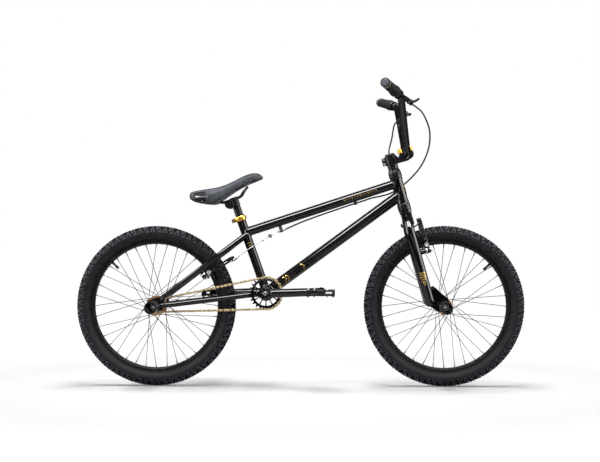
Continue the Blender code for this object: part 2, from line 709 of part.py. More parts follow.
def make_chain():
    """The chain's envelope: two side plates bridged outside the sprocket teeth."""
    inside = SPROCKET_HALF_THICKNESS + 0.0005
    section = [(-0.0043, -CHAIN_HALF_WIDTH), (-0.0043, -inside), (0.0044, -inside), (0.0044, inside),
               (-0.0043, inside), (-0.0043, CHAIN_HALF_WIDTH), (0.0054, CHAIN_HALF_WIDTH),
               (0.0054, -CHAIN_HALF_WIDTH)]
    loops = []
    for centre, out, radius, stretch in chain_stations():
        loops.append([centre + out * (radius + rise) * (stretch if rise > 0 else 1)
                      + Y_AXIS * (CHAIN_LINE + side) for rise, side in section])
    return loft("chain", loops, "chain", closed=True)


def make_crank_arm(side):
    name = f"{SIDE_NAMES[side]}_crank_arm"
    hub = BOTTOM_BRACKET + Y_AXIS * side * CRANK_ARM_OFFSET
    eye = crank_end(side)
    way = (eye - hub).normalized()
    out = Y_AXIS * side
    inner = CRANK_ARM_RADIUS if side == LEFT else CRANK_ARM_OFFSET - 0.0440
    arm = tube(name, [hub - 0.006 * way, hub + 0.02 * way, eye - 0.03 * way, eye], CRANK_ARM_RADIUS,
               "gloss_black", 12)
    boss = rod("boss", hub - inner * out, hub + (CRANK_ARM_RADIUS - 0.0005) * out, 0.0185, "gloss_black", 16)
    end = rod("end", eye - (CRANK_ARM_RADIUS - 0.001) * out, eye + (CRANK_ARM_RADIUS - 0.0005) * out, 0.0148,
              "gloss_black", 14)
    bores = [rod("bore", hub - 0.05 * out, hub + 0.05 * out, SPINDLE_RADIUS + 0.0005, "gloss_black", 12),
             rod("bore", eye - 0.05 * out, eye + 0.05 * out, 0.0076, "gloss_black", 12)]
    combine(arm, [boss, end])
    return cut(arm, bores)


def make_spindle():
    thick, spacer = SPINDLE_RADIUS, 0.0125
    bearing = SHELL_HALF_WIDTH + 0.0003
    ring_side = -CHAIN_LINE - SPROCKET_HALF_THICKNESS - GAP
    arm_side = CRANK_ARM_OFFSET - CRANK_ARM_RADIUS - GAP
    stations = [(-0.0860, thick), (-ring_side, thick), (-ring_side, spacer), (-bearing, spacer),
                (-bearing, thick), (bearing, thick), (bearing, spacer), (arm_side, spacer),
                (arm_side, thick), (0.0860, thick)]
    return turned("crank_spindle", BOTTOM_BRACKET, Y_AXIS, stations, "steel", 12)


def make_pedal(side):
    """Platform pedal with its axle; the platform is level at rest."""
    eye = crank_end(side)
    start = CRANK_ARM_RADIUS

    def at(along, out, up):
        return eye + X_AXIS * along + Y_AXIS * side * (start + out) + Z_AXIS * up

    axes = (X_AXIS, Y_AXIS * side, Z_AXIS)
    pedal = box(f"{SIDE_NAMES[side]}_pedal", at(0, 0.0600, 0), axes, (0.0435, 0.0470, 0.0080), "satin_black")
    flanges = [box("flange", at(0, out, 0), axes, (0.0330, 0.0040, 0.0120), "satin_black")
               for out in (0.0172, 0.1028)]
    windows = [box("window", at(along, 0.0600, 0), axes, (0.0115, 0.0350, 0.0200), "satin_black")
               for along in (-0.0250, 0.0250)]
    bore = rod("bore", at(0, 0.0100, 0), at(0, 0.1015, 0), 0.0058, "satin_black", 12)
    combine(pedal, flanges)
    cut(pedal, windows + [bore])
    axle = turned(f"{SIDE_NAMES[side]}_pedal_axle", eye, Y_AXIS * side,
                  [(-0.0130, 0.0070), (start + 0.0004, 0.0070), (start + 0.0004, 0.0090),
                   (start + 0.0110, 0.0090), (start + 0.0125, 0.0050), (start + 0.0960, 0.0050)],
                  "steel", 12)
    return pedal, axle


# ------------------------------------------------------------------ front end
LEG_CORNERS = ((-0.0790, 0.0, 0.009), (-0.1010, -0.002, 0.035), (-0.1280, LEG_SETBACK, LEG_OFFSET),
               (-0.3640, LEG_SETBACK, LEG_OFFSET))
LEG_BORE = (-0.150, -0.354)
FRONT_PLATE = ((0.4040, 0.2610), (0.4240, 0.2460), (0.4480, 0.2360), (0.4680, 0.2400), (0.4740, 0.2600),
               (0.4690, 0.2790), (0.4400, 0.3000), (0.4200, 0.3140), (0.4090, 0.3000))


def make_fork():
    fork = rod("fork", steer(-0.0900), steer(0.1120), STEERER_RADIUS, "gloss_black", 20)
    crown = turned("crown", HEAD_CENTRE, STEER_UP, [(-0.1130, 0.0160), (-0.1080, 0.0176), (-0.0760, 0.0176),
                                                    (-0.0700, 0.0197), (-0.0657, 0.0197)], "gloss_black", 20)
    solids = [crown]
    bores = [rod("bore", steer(-0.1300), steer(0.1300), STEERER_BORE, "gloss_black", 20)]
    for side in (LEFT, RIGHT):
        corners = [steer(up, forward, side * y) for up, forward, y in LEG_CORNERS]
        path = rounded_path(corners, 0.060, 3)
        solids.append(tube("leg", path, LEG_RADIUS, "gloss_black", 12))
        inner, outer = FRONT_DROPOUT
        outline = [Vector((x, side * inner, z)) for x, z in FRONT_PLATE]
        solids.append(prism("plate", outline, (0, side * (outer - inner), 0), "gloss_black"))
        solids.append(brake_boss("front", side, -0.0343))
        top, bottom, end = (steer(up, LEG_SETBACK, side * LEG_OFFSET) for up in (*LEG_BORE, -0.372))
        bores.append(rod("bore", top, bottom, LEG_RADIUS - WALL, "gloss_black", 10))
        bores.append(rod("drain", bottom + 0.003 * STEER_UP, end, 0.0040, "gloss_black", 6))
        bores.append(axle_slot(FRONT_AXLE, FRONT_DROPOUT, -STEER_UP, 0.05, side))
    combine(fork, solids, solver="MANIFOLD")
    return cut(fork, bores, solver="MANIFOLD")


def make_headset_rings():
    bore = STEERER_RADIUS + 0.0004
    cover = ring("headset_cover", HEAD_CENTRE, STEER_UP,
                 [(bore, 0.0564), (0.0205, 0.0564), (0.0205, 0.0610), (0.0172, 0.0700), (0.0168, 0.0715),
                  (bore, 0.0715)], "gloss_black", 18)
    spacer = ring("headset_spacer", HEAD_CENTRE, STEER_UP,
                  [(bore, 0.0718), (0.0168, 0.0718), (0.0168, 0.0861), (bore, 0.0861)], "satin_black", 18)
    return [cover, spacer]


def bar_bore(radius):
    centre = steer(*BAR_CLAMP)
    return rod("bar_bore", centre - Y_AXIS * 0.06, centre + Y_AXIS * 0.06, radius, "satin_black", 24)


def stem_outline(points, half_width):
    return [steer(up, forward, -half_width) for forward, up in points]


def make_stem():
    """Top-load stem: the bar lies in its top, under a separate clamp."""
    half_width = 0.0250
    stem = rod("stem", steer(0.0864), steer(0.1160), 0.0190, "satin_black", 24)
    body = prism("body", stem_outline([(0.008, 0.0866), (0.052, 0.0868), (0.0690, 0.0930), (0.0745, 0.0998),
                                       (0.0270, 0.0998), (0.0150, 0.1130), (0.008, 0.1150)], half_width),
                 (0, 2 * half_width, 0), "satin_black")
    ear = box("ear", steer(0.1012, -0.0230), (STEER_FORWARD, Y_AXIS, STEER_UP), (0.0075, 0.0090, 0.0125),
              "satin_black")
    slot = box("slot", steer(0.1012, -0.0245), (STEER_FORWARD, Y_AXIS, STEER_UP), (0.0120, 0.0010, 0.0300),
               "satin_black")
    bore = rod("bore", steer(0.0700), steer(0.1300), STEERER_RADIUS + 0.0004, "satin_black", 24)
    combine(stem, [body, ear])
    cut(stem, [bore, slot, bar_bore(BAR_RADIUS + 0.0005)])

    clamp = prism("stem_clamp", stem_outline([(0.0270, 0.1004), (0.0745, 0.1004), (0.0745, 0.1085),
                                              (0.0680, 0.1155), (0.0335, 0.1155), (0.0270, 0.1085)],
                                             half_width), (0, 2 * half_width, 0), "satin_black")
    cut(clamp, [bar_bore(BAR_RADIUS + 0.0005)])
    top_bolt = ring("stem_top_bolt", HEAD_CENTRE, STEER_UP,
                    [(0.0042, 0.1000), (STEERER_BORE - 0.0005, 0.1000), (STEERER_BORE - 0.0005, 0.1163),
                     (0.0155, 0.1163), (0.0145, 0.1225), (0.0042, 0.1225)],
                    "satin_black", 18)
    return [stem, clamp, top_bolt]


BAR_WAY = (BAR_END - BAR_UPPER_BEND).normalized()


def on_bar(from_end, side):
    """A point on the straight grip part of the bar, measured in from its end."""
    return mirrored(BAR_END - from_end * BAR_WAY, side)


def make_handlebar():
    cap = 0.0063
    centre = steer(*BAR_CLAMP)
    right_half = [on_bar(cap, RIGHT), mirrored(BAR_UPPER_BEND, RIGHT), mirrored(BAR_LOWER_BEND, RIGHT)]
    left_half = [mirrored(point, LEFT) for point in (BAR_LOWER_BEND, BAR_UPPER_BEND)] + [on_bar(cap, LEFT)]
    path = rounded_path(right_half + [centre] + left_half, 0.055, 3)
    bar = tube("handlebar", path, BAR_RADIUS, "gloss_black", 10, bore=BAR_BORE)
    crossbar_height = 0.60
    left_end = BAR_LOWER_BEND.lerp(BAR_UPPER_BEND, crossbar_height)
    crossbar = rod("crossbar", mirrored(left_end, RIGHT) + Y_AXIS * 0.004, left_end - Y_AXIS * 0.004, 0.0080,
                   "gloss_black", 12)
    return combine(bar, [crossbar])


def make_grip(side):
    """Grip and end plug on one side of the bar."""
    way = mirrored(BAR_WAY, side)
    bore = BAR_RADIUS + 0.0004
    start = 0.0064
    outline = [(start, 0.0138), (0.065, 0.0147), (0.096, 0.0173), (0.108, 0.0175), (GRIP_LENGTH, 0.0142)]
    profile = [(bore, -GRIP_LENGTH), (bore, -start)] + [(r, -d) for d, r in outline]
    grip = ring(f"{SIDE_NAMES[side]}_grip", mirrored(BAR_END, side), way, profile, "grip", 12)
    plug = turned(f"{SIDE_NAMES[side]}_bar_end", mirrored(BAR_END, side), way,
                  [(-0.0200, 0.0072), (-0.0060, 0.0072), (-0.0060, 0.0149), (-0.0015, 0.0149), (0, 0.0130)],
                  "grip", 12)
    return [grip, plug]


LEVER_PIVOT = Vector((0.3450, 0.2250, 0.8800))
LEVER_TIP = Vector((0.3650, 0.3050, 0.8840))
LEVER_CLAMP_FROM_END = 0.1380


def lever_directions(side):
    """Along the blade, towards the grip, and the pivot axis; a positive turn pulls the lever."""
    blade = (mirrored(LEVER_TIP, side) - mirrored(LEVER_PIVOT, side)).normalized()
    towards_grip = on_bar(0.050, side) - mirrored(LEVER_TIP, side)
    pull = (towards_grip - towards_grip.dot(blade) * blade).normalized()
    return blade, pull, blade.cross(pull)


def make_lever(side):
    """The perch clamped on the bar, and the lever that turns in its fork."""
    blade, pull, axis = lever_directions(side)
    pivot = mirrored(LEVER_PIVOT, side)
    clamp_centre = on_bar(LEVER_CLAMP_FROM_END, side)
    bar_way = mirrored(BAR_WAY, side)
    perch = ring(f"{SIDE_NAMES[side]}_lever_perch", clamp_centre, bar_way,
                 [(BAR_RADIUS + 0.0006, -0.0050), (0.0155, -0.0050), (0.0155, 0.0050),
                  (BAR_RADIUS + 0.0006, 0.0050)], "satin_black", 14)
    way = (pivot - clamp_centre).normalized()
    across = axis.cross(way).normalized()
    reach = (pivot - clamp_centre).length
    body = box("body", clamp_centre + way * (0.0140 + reach - 0.0100) / 2, (way, way.cross(across), across),
               ((reach - 0.0100 - 0.0140) / 2, 0.0072, 0.0048), "satin_black")
    flat_way = across.cross(axis)
    ears = [box("ear", pivot - flat_way * 0.0030 + axis * sign * 0.0064, (flat_way, axis, across),
                (0.0090, 0.0010, 0.0050), "satin_black") for sign in (-1, 1)]
    pin = rod("pin", pivot - axis * 0.0070, pivot + axis * 0.0070, 0.0022, "steel", 10)
    inward = -Y_AXIS * side
    barrel_start = clamp_centre + way * 0.0300
    barrel_way = (way * 0.55 + inward * 0.84).normalized()
    barrel = rod("barrel", barrel_start, barrel_start + barrel_way * 0.0260, 0.0042, "satin_black", 12)
    combine(perch, [body] + ears + [pin, barrel])

    def section(along, back, half_height, half_thickness):
        middle = pivot + blade * along + pull * back
        return [middle + axis * half_height * a + pull * half_thickness * b
                for a, b in ((-1, -1), (1, -1), (1, 1), (-1, 1))]

    length = (LEVER_TIP - LEVER_PIVOT).length
    lever = loft(f"{SIDE_NAMES[side]}_brake_lever",
                 [section(0.0020, 0.0, 0.0046, 0.0040), section(0.016, -0.0010, 0.0046, 0.0032),
                  section(0.030, -0.0035, 0.0052, 0.0020), section(0.055, -0.0030, 0.0056, 0.0016),
                  section(length - 0.006, 0.0005, 0.0056, 0.0016), section(length, 0.0, 0.0040, 0.0016)],
                 "satin_black")
    hub = rod("hub", pivot - axis * 0.0050, pivot + axis * 0.0050, 0.0058, "satin_black", 16)
    bore = rod("bore", pivot - axis * 0.0080, pivot + axis * 0.0080, 0.0027, "satin_black", 12)
    combine(lever, [hub])
    cut(lever, [bore])
    cable_start = [barrel_start + barrel_way * (0.0260 + 0.0015 + along) for along in (0, 0.008)]
    return perch, lever, cable_start


REAR_HOUSING_LOOP = ((0.3760, -0.1780, 0.8580), (0.3920, -0.1530, 0.8350), (0.4040, -0.1200, 0.8080),
                     (0.4080, -0.0880, 0.7820), (0.4060, -0.0550, 0.7530), (0.3970, -0.0240, 0.7230),
                     (0.3820, 0.0020, 0.6940), (0.3620, 0.0200, 0.6690), (0.3350, 0.0290, 0.6430),
                     (0.3100, 0.0285, 0.6240), (0.2860, 0.0220, 0.6110), (0.2600, 0.0110, 0.6030))
# (x, drop below the top tube's axis)
TOP_TUBE_HOUSING = ((0.2000, HOUSING_DROP), (GUIDE_X, HOUSING_DROP), (0.1400, HOUSING_DROP),
                    (0.0500, 0.0215), (0.0000, 0.0240), (STOP_X, STOP_DROP))
FRONT_CABLE_REACH = ((0.3510, 0.1760, 0.8740), (0.3440, 0.1540, 0.8670), (0.3300, 0.1350, 0.8600),
                     (0.3150, 0.1180, 0.8500), (0.3030, 0.0950, 0.8350), (0.2980, 0.0680, 0.8150),
                     (0.2940, 0.0410, 0.7920), (0.2885, 0.0180, 0.7700), (0.2835, 0.0040, 0.7500))
# (up the steering axis, forward, side)
FRONT_CABLE_LOOP = ((-0.1080, 0.0005, 0.0010), (-0.1170, 0.0040, 0.0050), (-0.1205, 0.0120, 0.0120),
                    (-0.1195, 0.0220, 0.0190), (-0.1130, 0.0310, 0.0245), (-0.1060, 0.0345, 0.0280))


def make_rear_brake_housing(start):
    """Housing from the right lever, round the front and left of the head tube, to the top tube stop."""
    points = start + [Vector(point) for point in REAR_HOUSING_LOOP]
    points.append(below_top_tube(0.2300, HOUSING_DROP, 0.0030))
    points += [below_top_tube(x, drop) for x, drop in TOP_TUBE_HOUSING]
    return cable("rear_brake_housing", points, 2 * HOUSING_RADIUS, "cable")


def make_front_brake_cable(start):
    """Cable from the left lever, through the hollow stem bolt and steerer, to the front brake."""
    points = start + [Vector(point) for point in FRONT_CABLE_REACH]
    points += [steer(up) for up in (0.1260, 0.1180, 0.1000, 0.0500, 0.0000, -0.0500, -0.0900)]
    points += [steer(*place) for place in FRONT_CABLE_LOOP]
    return cable("front_brake_cable", points, 0.0050, "cable")


def make_rear_brake_wire():
    """Bare wire from the stop to its yoke, and the two straddle wires that pass the seat tube."""
    start = below_top_tube(STOP_X - 0.0004, STOP_DROP)
    yoke = Vector((-0.0940, 0, 0.4760))
    straight = below_top_tube(STOP_X - 0.012, STOP_DROP)
    wire = tube("rear_brake_wire", [start, straight, yoke], 0.0010, "steel", 6)
    block = box("yoke", yoke, (X_AXIS, Y_AXIS, Z_AXIS), (0.0040, 0.0050, 0.0035), "steel")
    straddles = []
    for side in (LEFT, RIGHT):
        end = brake_point("rear", ARM_LENGTH - 0.001, 0.0070, side * 0.0400)
        past_tube = Vector((-0.1560, side * 0.0200, 0.4385))
        straddles.append(tube("straddle", [yoke + Y_AXIS * side * 0.003, past_tube, end], 0.0010, "steel", 6))
    return combine(wire, [block] + straddles)


# ------------------------------------------------------------------ saddle
CLAMP_CENTRE = seat(0.3040, -0.0173)
RAIL_RADIUS = 0.0035
RAIL_SPREAD = 0.022
# (x, top, bottom, half width) from the tail to the nose
SADDLE_STATIONS = ((-0.3490, 0.6070, 0.5970, 0.030), (-0.3330, 0.6180, 0.5840, 0.058),
                   (-0.3100, 0.6230, 0.5775, 0.069), (-0.2680, 0.6300, 0.5750, 0.070),
                   (-0.2520, 0.6345, 0.5830, 0.063), (-0.2290, 0.6410, 0.5990, 0.050),
                   (-0.1980, 0.6570, 0.6200, 0.036), (-0.1640, 0.6710, 0.6370, 0.025),
                   (-0.1400, 0.6770, 0.6470, 0.020), (-0.1220, 0.6700, 0.6530, 0.014),
                   (-0.1150, 0.6630, 0.6560, 0.007))
SADDLE_SECTION = ((-0.7, 0.0), (0.7, 0.0), (1.0, 0.35), (0.92, 0.72), (0.55, 0.94), (0.0, 1.0),
                  (-0.55, 0.94), (-0.92, 0.72), (-1.0, 0.35))


def rail_path():
    side_points = [(-0.2440, RAIL_SPREAD, 0.5810), (-0.2360, RAIL_SPREAD, 0.5840),
                   (-0.1910, RAIL_SPREAD, 0.6000), (-0.1780, 0.0200, 0.6170), (-0.1690, 0.0120, 0.6280)]
    left = [Vector(point) for point in side_points]
    nose = Vector((-0.1665, 0, 0.6310))
    return [mirrored(point, RIGHT) for point in left] + [nose] + left[::-1]


def make_saddle():
    loops = []
    for x, top, bottom, half_width in SADDLE_STATIONS:
        loops.append([Vector((x, across * half_width, bottom + up * (top - bottom)))
                      for across, up in SADDLE_SECTION])
    saddle = loft("saddle", loops, "saddle")
    rails = tube("saddle_rails", rail_path(), RAIL_RADIUS, "satin_black", 8)
    discs = turned("saddle_clamp_discs", CLAMP_CENTRE, Y_AXIS,
                   [(-0.0310, 0.0060), (-0.0270, 0.0060), (-0.0270, 0.0145), (-0.0170, 0.0145),
                    (-0.0170, 0.0045), (0.0170, 0.0045), (0.0170, 0.0145), (0.0270, 0.0145),
                    (0.0270, 0.0060), (0.0310, 0.0060)],
                   "satin_black", 16)
    grooves = []
    for side in (LEFT, RIGHT):
        start, end = Vector((-0.2560, 0, 0.5769)), Vector((-0.1900, 0, 0.6003))
        shift = Y_AXIS * side * RAIL_SPREAD
        grooves.append(rod("groove", start + shift, end + shift, RAIL_RADIUS + 0.0006, "satin_black", 8))
    cut(discs, grooves)
    return [saddle, rails, discs]


def make_seat_post():
    post = turned("seat_post", BOTTOM_BRACKET, SEAT_UP,
                  [(0.1300, SEAT_POST_RADIUS), (0.2870, SEAT_POST_RADIUS), (0.2885, 0.0110),
                   (0.3190, 0.0110)],
                  "satin_black", 16)
    clamp = rod("saddle_clamp", seat(0.2895), seat(0.3200), 0.0140, "satin_black", 14)
    arm = box("arm", seat(0.3040, -0.0120), (SEAT_FORWARD, Y_AXIS, SEAT_UP), (0.0090, 0.0080, 0.0060),
              "satin_black")
    barrel = rod("barrel", CLAMP_CENTRE - Y_AXIS * 0.0166, CLAMP_CENTRE + Y_AXIS * 0.0166, 0.0080,
                 "satin_black", 14)
    combine(clamp, [arm, barrel])
    cut(clamp, [rod("bore", seat(0.2700), seat(0.3400), 0.0114, "satin_black", 16),
                rod("bore", CLAMP_CENTRE - Y_AXIS * 0.03, CLAMP_CENTRE + Y_AXIS * 0.03, 0.0051,
                    "satin_black", 16)])
    return [post, clamp]


# ------------------------------------------------------------------ assembly
def main():
    clear_scene()
    frame_axis = body_axis("frame_axis", (0, 0, 0))
    steering_axis = body_axis("steering_axis", HEAD_CENTRE, frame_axis)
    front_wheel_axis = body_axis("front_wheel_axis", FRONT_AXLE, steering_axis)
    rear_wheel_axis = body_axis("rear_wheel_axis", REAR_AXLE, frame_axis)
    driver_axis = body_axis("driver_axis", REAR_AXLE, frame_axis)
    crank_axis = body_axis("crank_axis", BOTTOM_BRACKET, frame_axis)
    post_axis = body_axis("post_axis", seat(SEAT_TUBE_LENGTH), frame_axis)
    saddle_axis = body_axis("saddle_axis", CLAMP_CENTRE, post_axis)

    frame_pieces = [make_frame(), headset_cup("headset_upper_cup", 0.0415, 0.0560, 1),
                    headset_cup("headset_lower_cup", -0.0403, -0.0652, -1), make_chain(),
                    make_axle("rear_axle", REAR_AXLE, REAR_DROPOUT, cone=0.0046)]
    frame_pieces += make_seat_clamp()
    frame_pieces += [make_bearing(side) for side in (LEFT, RIGHT)]
    frame_pieces += [make_peg(f"rear_{SIDE_NAMES[side]}_peg", REAR_AXLE, REAR_DROPOUT[1], side)
                     for side in (LEFT, RIGHT)]
    frame_pieces.append(make_rear_brake_wire())

    steering_pieces = [make_fork(), make_handlebar(),
                       make_axle("front_axle", FRONT_AXLE, FRONT_DROPOUT)]
    steering_pieces += make_headset_rings() + make_stem()
    cable_starts = {}
    for side in (LEFT, RIGHT):
        steering_pieces += make_grip(side)
        steering_pieces.append(make_peg(f"front_{SIDE_NAMES[side]}_peg", FRONT_AXLE, FRONT_DROPOUT[1], side))
        perch, lever, cable_starts[side] = make_lever(side)
        steering_pieces.append(perch)
        lever_axis = body_axis(f"{SIDE_NAMES[side]}_lever_axis", mirrored(LEVER_PIVOT, side), steering_axis)
        hang([lever], lever_axis)
        for end, parent in (("front", steering_axis), ("rear", frame_axis)):
            pivot = brake_point(end, 0, 0, side * PIVOT_TO_SIDE)
            arm_axis = body_axis(f"{end}_{SIDE_NAMES[side]}_arm_axis", pivot, parent)
            hang([make_brake_arm(end, side), make_brake_pad(end, side)], arm_axis)
        pedal, pedal_axle = make_pedal(side)
        pedal_axis = body_axis(f"{SIDE_NAMES[side]}_pedal_turn_axis", crank_end(side), crank_axis)
        hang([pedal], pedal_axis)
        hang([pedal_axle, make_crank_arm(side)], crank_axis)
    frame_pieces.append(make_rear_brake_housing(cable_starts[RIGHT]))
    steering_pieces.append(make_front_brake_cable(cable_starts[LEFT]))
    hang(frame_pieces, frame_axis)
    hang(steering_pieces, steering_axis)

    hang([make_tyre("front", FRONT_AXLE), make_rim("front", FRONT_AXLE),
          make_hub("front", FRONT_AXLE, front_hub_profile(), (0.0345, -0.0345), 0.0260)], front_wheel_axis)
    hang([make_tyre("rear", REAR_AXLE), make_rim("rear", REAR_AXLE),
          make_hub("rear", REAR_AXLE, rear_hub_profile(), (0.0369, -0.0281), 0.0305)], rear_wheel_axis)
    hang([make_driver()], driver_axis)
    hang([make_spindle(), make_chainring()], crank_axis)
    hang(make_seat_post(), post_axis)
    hang(make_saddle(), saddle_axis)


main()
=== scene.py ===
"""Looks for the twenty-inch BMX bike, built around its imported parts.

World frame: metres, X forward, Y to the rider's left, Z up.  The near side is the right one, at
negative Y, where the chain runs.
"""
import json
from math import acos, atan2, copysign, cos, exp, hypot, pi, radians, sin, sqrt, tan

import bmesh
import bpy
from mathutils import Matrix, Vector


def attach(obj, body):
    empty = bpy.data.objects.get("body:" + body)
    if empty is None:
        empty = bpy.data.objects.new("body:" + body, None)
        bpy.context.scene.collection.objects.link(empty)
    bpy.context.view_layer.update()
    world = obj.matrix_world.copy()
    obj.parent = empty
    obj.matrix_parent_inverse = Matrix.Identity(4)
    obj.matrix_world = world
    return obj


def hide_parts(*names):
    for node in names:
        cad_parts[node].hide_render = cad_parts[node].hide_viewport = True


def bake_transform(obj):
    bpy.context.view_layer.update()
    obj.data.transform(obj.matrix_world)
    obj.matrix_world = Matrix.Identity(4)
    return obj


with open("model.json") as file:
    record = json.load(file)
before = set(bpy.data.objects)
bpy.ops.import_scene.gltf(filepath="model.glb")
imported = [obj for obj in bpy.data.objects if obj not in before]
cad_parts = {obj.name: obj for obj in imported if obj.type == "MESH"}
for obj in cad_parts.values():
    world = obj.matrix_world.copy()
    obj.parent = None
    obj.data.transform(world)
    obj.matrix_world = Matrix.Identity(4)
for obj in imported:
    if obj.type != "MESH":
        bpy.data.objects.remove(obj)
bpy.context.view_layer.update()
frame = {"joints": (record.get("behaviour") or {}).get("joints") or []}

LEFT, RIGHT = 1, -1
SIDES = (LEFT, RIGHT)
SIDE_NAMES = {LEFT: "left", RIGHT: "right"}
X_AXIS, Y_AXIS, Z_AXIS = Vector((1, 0, 0)), Vector((0, 1, 0)), Vector((0, 0, 1))
JOINTS = {joint["name"]: joint for joint in frame["joints"]}


# ------------------------------------------------------------------ places on the bike
def joint_point(name):
    return Vector(JOINTS[name]["pos_m"])


FRONT_AXLE = joint_point("front_wheel_spin")
REAR_AXLE = joint_point("rear_wheel_spin")
BOTTOM_BRACKET = joint_point("crank_spin")
HEAD_CENTRE = joint_point("steering_turn")
CLAMP_CENTRE = joint_point("saddle_tilt")
STEER_UP = Vector(JOINTS["steering_turn"]["axis"]).normalized()
STEER_FORWARD = Vector((STEER_UP.z, 0, -STEER_UP.x))
SEAT_UP = Vector(JOINTS["seat_post_slide"]["axis"]).normalized()
SEAT_FORWARD = Vector((SEAT_UP.z, 0, -SEAT_UP.x))


def steer(up, forward=0.0, side=0.0):
    """A point given along and ahead of the steering axis."""
    return HEAD_CENTRE + up * STEER_UP + forward * STEER_FORWARD + side * Y_AXIS


def seat(up, forward=0.0, side=0.0):
    """A point given along and ahead of the seat tube, from the bottom bracket."""
    return BOTTOM_BRACKET + up * SEAT_UP + forward * SEAT_FORWARD + side * Y_AXIS


def mirrored(point, side):
    return Vector((point[0], side * point[1], point[2]))


TOP_TUBE = (Vector((-0.175, 0, 0.486)), steer(0.0262))
DOWN_TUBE = (BOTTOM_BRACKET, steer(-0.0113))
TOP_TUBE_WAY = (TOP_TUBE[1] - TOP_TUBE[0]).normalized()
DOWN_TUBE_WAY = (DOWN_TUBE[1] - DOWN_TUBE[0]).normalized()
TOP_TUBE_UNDER = Vector((TOP_TUBE_WAY.z, 0, -TOP_TUBE_WAY.x))
HEAD_TUBE_RADIUS = 0.0185
TOP_TUBE_RADIUS = 0.0148
DOWN_TUBE_RADIUS = 0.0175
SEAT_TUBE_RADIUS = 0.0143
SEAT_TUBE_LENGTH = 0.258
SHELL_HALF_WIDTH = 0.034
SHELL_RADIUS = 0.0245
TUBE_ROOT = 0.0215  # where a tube starts, out from the bottom bracket's axis
STAY_RADIUS = 0.0092
LEG_RADIUS = 0.0159
LEG_OFFSET = 0.052
LEG_SETBACK = -0.005
STEERER_RADIUS = 0.0143
CROWN_RADIUS = 0.0176
FRONT_DROPOUT = (0.0503, 0.056)
REAR_DROPOUT = (0.0551, 0.0605)
CHAIN_LINE = -0.042
CRANK_ARM_OFFSET = 0.0735
CRANK_ARM_RADIUS = 0.014
CRANK_LENGTH = 0.175
CRANK_BOSS_RADIUS = 0.0187
TO_CHAINRING = CRANK_ARM_OFFSET - 0.044
BAR_RADIUS = 0.0111


def below_top_tube(x, drop, side=0.0):
    """A point under the top tube, the drop measured square to the tube from its axis."""
    along = (x - TOP_TUBE[0].x - drop * TOP_TUBE_UNDER.x) / TOP_TUBE_WAY.x
    return TOP_TUBE[0] + along * TOP_TUBE_WAY + drop * TOP_TUBE_UNDER + side * Y_AXIS


# ------------------------------------------------------------------ shader nodes
# a noise rarely leaves these values, so a ramp between them uses its whole range
RAMP_FROM, RAMP_TO = 0.3, 0.7


def fill(tree, node, sockets):
    """Link a node's inputs to other nodes' outputs, or set them to constants."""
    for name, value in sockets.items():
        if isinstance(value, bpy.types.NodeSocket):
            tree.links.new(value, node.inputs[name])
        else:
            node.inputs[name].default_value = value


def add_node(tree, kind, sockets, **settings):
    node = tree.nodes.new(f"ShaderNode{kind}")
    for name, value in settings.items():
        setattr(node, name, value)
    fill(tree, node, sockets)
    return node


def mapped_coordinates(tree, stretch=(1, 1, 1)):
    coordinates = add_node(tree, "TexCoord", {})
    mapping = add_node(tree, "Mapping", {"Vector": coordinates.outputs["Object"], "Scale": stretch})
    return mapping.outputs["Vector"]


def noise(tree, vector, scale, detail=3.0):
    return add_node(tree, "TexNoise", {"Vector": vector, "Scale": scale, "Detail": detail}).outputs["Fac"]


def ranged(tree, value, low, high, start=RAMP_FROM, end=RAMP_TO):
    """Bring a value that runs from start to end into the range from low to high."""
    sockets = {"Value": value, "From Min": start, "From Max": end, "To Min": low, "To Max": high}
    return add_node(tree, "MapRange", sockets).outputs["Result"]


def mixed_colour(tree, factor, first, second):
    ramp = add_node(tree, "ValToRGB", {"Fac": factor})
    for element, place, colour in zip(ramp.color_ramp.elements, (RAMP_FROM, RAMP_TO), (first, second)):
        element.position = place
        element.color = (*colour, 1)
    return ramp.outputs["Color"]


def bumped(tree, height, strength, distance):
    bump = add_node(tree, "Bump", {"Height": height, "Strength": strength, "Distance": distance})
    return bump.outputs["Normal"]


# ------------------------------------------------------------------ camera, light and floor
def look_at(obj, target):
    obj.rotation_euler = (target - obj.location).to_track_quat("-Z", "Y").to_euler()


CAMERA_PLACE = (0.1595, -4.8, 0.495)
CAMERA_TARGET = Vector((0.0008, 0, 0.4918))
LENS_MM = 90.7
SENSOR_MM = 36


def make_camera():
    data = bpy.data.cameras.new("camera")
    data.lens = LENS_MM
    data.sensor_width = SENSOR_MM
    camera = bpy.data.objects.new("camera", data)
    bpy.context.scene.collection.objects.link(camera)
    camera.location = CAMERA_PLACE
    look_at(camera, CAMERA_TARGET)
    bpy.context.scene.camera = camera


